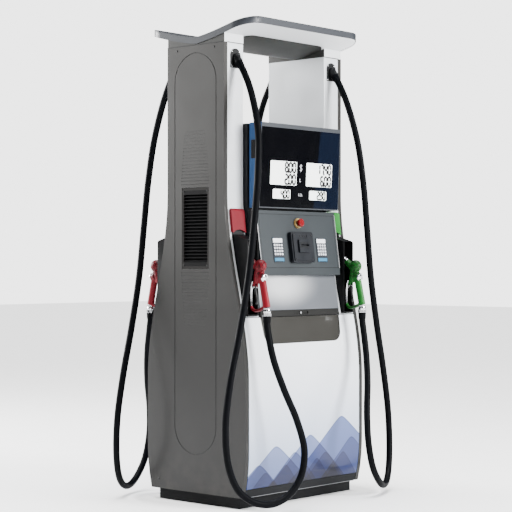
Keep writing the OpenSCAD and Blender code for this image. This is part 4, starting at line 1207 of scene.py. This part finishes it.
def nozzle_metal_mesh():
    """Spout with its anchor spring, hex swivel, sight disc, guard bar and pivot pin."""
    bm = bmesh.new()
    bend = spline([(0, -0.294, 1.172), (0, -0.28, 1.1845), (0, -0.262, 1.199),
                   (0, -0.24, 1.215), (0, -0.206, 1.24)], 0.005)
    tube(bm, bend, 0.0105, 24, caps=False)
    tube(bm, bend, 0.009, 24, caps=False)
    start, way = bend[0], (bend[1] - bend[0])
    lathe(bm, [(0.01, -0.002), (0.015, -0.002), (0.0156, 0.001), (0.0156, 0.008),
               (0.014, 0.011), (0.01, 0.012)], start, way, 32)
    tip, tip_way = bend[-1], bend[-1] - bend[-2]
    lathe(bm, [(0.0088, -0.01), (0.0112, -0.01), (0.0114, -0.001), (0.0106, 0.001),
               (0.0088, 0.001)], tip, tip_way, 32)
    for k in range(7):
        spot = bend[3] + (bend[6] - bend[3]) * (k / 6)
        lathe(bm, [(0.0105, -0.0009), (0.012, 0.0), (0.0105, 0.0009)], spot,
              bend[6] - bend[3], 24)
    # Swivel: hexagon, collar and neck that enters the grip.
    lathe(bm, [(0.0, 0.0), (0.0196, 0.0), (0.0212, 0.002), (0.0212, 0.0145), (0.0196, 0.0165),
               (0.0, 0.0165)], SWIVEL, (0, 0, 1), 6)
    lathe(bm, [(0.0, 0.016), (0.0188, 0.016), (0.0194, 0.018), (0.0194, 0.024), (0.0172, 0.027),
               (0.0166, 0.034), (0.018, 0.036), (0.018, 0.039), (0.0, 0.04)],
          SWIVEL, (0, 0, 1), 40)
    # Sight disc: rim, groove and domed centre.
    lathe(bm, [(0.0, -0.003), (0.0208, -0.003), (0.0212, 0.0), (0.0206, 0.0045), (0.019, 0.006),
               (0.0172, 0.0056), (0.0162, 0.0038), (0.0148, 0.0044), (0.008, 0.006),
               (0.0, 0.0064)], (0, -0.375, 1.0935), (0, -0.99, -0.14), 48)
    tube(bm, yz((-0.304, 1.078), (-0.296, 1.062), (-0.2905, 1.03), (-0.2895, 0.99),
                (-0.291, 0.958)), [0.006, 0.0062, 0.0062, 0.0062, 0.0062], 16, 1.2)
    lathe(bm, [(0.0, -0.015), (0.0045, -0.015), (0.005, -0.0142), (0.005, -0.0128),
               (0.0029, -0.0124), (0.0029, 0.0124), (0.005, 0.0128), (0.005, 0.0142),
               (0.0045, 0.015), (0.0, 0.015)], LEVER_PIN, (1, 0, 0), 24)
    return from_bmesh(bm, "nozzle_metal", 32)


def nozzle_lever_mesh():
    """Pressed trigger with a rolled front edge, a finger hook and rubber ribs."""
    bm = bmesh.new()
    tube(bm, yz((-0.316, 1.0565), (-0.316, 1.048), (-0.319, 1.028), (-0.3255, 1.005),
                (-0.3285, 0.988), (-0.3275, 0.976), (-0.3245, 0.969)),
         [0.0052, 0.0058, 0.0046, 0.0044, 0.0044, 0.0044, 0.0036], 16, 1.35)
    for k in range(9):
        t = k / 8
        spot = Vector((0, -0.3215 - 0.0068 * t, 1.018 - 0.036 * t))
        tube(bm, [spot + Vector((-0.0066, -0.0034, 0)), spot + Vector((0.0066, -0.0034, 0))],
             0.0011, 8)
    return from_bmesh(bm, "nozzle_lever", 50)


def hose_sleeve_mesh():
    """Flared rubber sleeve on the end of the hose, below the swivel."""
    bm = bmesh.new()
    profile = [(0.016, -0.03), (0.018, -0.03), (0.019, -0.022), (0.0196, -0.006),
               (0.0202, -0.003), (0.0202, -0.0004), (0.016, -0.0004), (0.016, -0.03)]
    lathe(bm, profile, SWIVEL, (0, 0, 1), 32)
    return from_bmesh(bm, "hose_sleeve", 40, weld=True)


def make_nozzles():
    # Each part: its mesh, material, slot, body and the CAD node that it stands for.
    parts = {
        "body": (nozzle_body_mesh(), "{colour}_vinyl", "nozzle_body_{colour}", "nozzle",
                 "nozzle_body"),
        "head": (nozzle_head_mesh(), "{colour}_vinyl", "nozzle_body_{colour}", "nozzle", None),
        "metal": (nozzle_metal_mesh(), "chrome", "nozzle_metal", "nozzle", "nozzle_metal"),
        "lever": (nozzle_lever_mesh(), "lever_black", "nozzle_levers", "lever", "nozzle_lever"),
        "sleeve": (hose_sleeve_mesh(), "hose_rubber", "hoses", "nozzle", None),
    }
    for side, face, sx, sy in CORNERS:
        place = shift(sx * HOSE_X, 0) @ Matrix.Diagonal((sx, -sy, 1, 1))
        colour = "red" if side == "left" else "green"
        for kind, (mesh, material, slot, body, node) in parts.items():
            made = piece(f"nozzle_{face}_{side}_{kind}", moved(mesh, place),
                         f"{body}_{face}_{side}", material.format(colour=colour))
            if node:
                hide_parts(f"{node}_{face}_{side}")


make_materials()
make_camera()
make_hoses()
make_floor()
make_studio()
dress_nodes()
make_nozzles()
make_seams()
make_vent_shade_sheets()
make_cabinet_screws()
make_outlet_fittings()
make_boot_backings()
for face in FACES:
    make_display(face)
    make_door_latch(face)
    make_keypads(face)
    make_reader_details(face)
    make_console_trims(face)
    make_estop_ring(face)
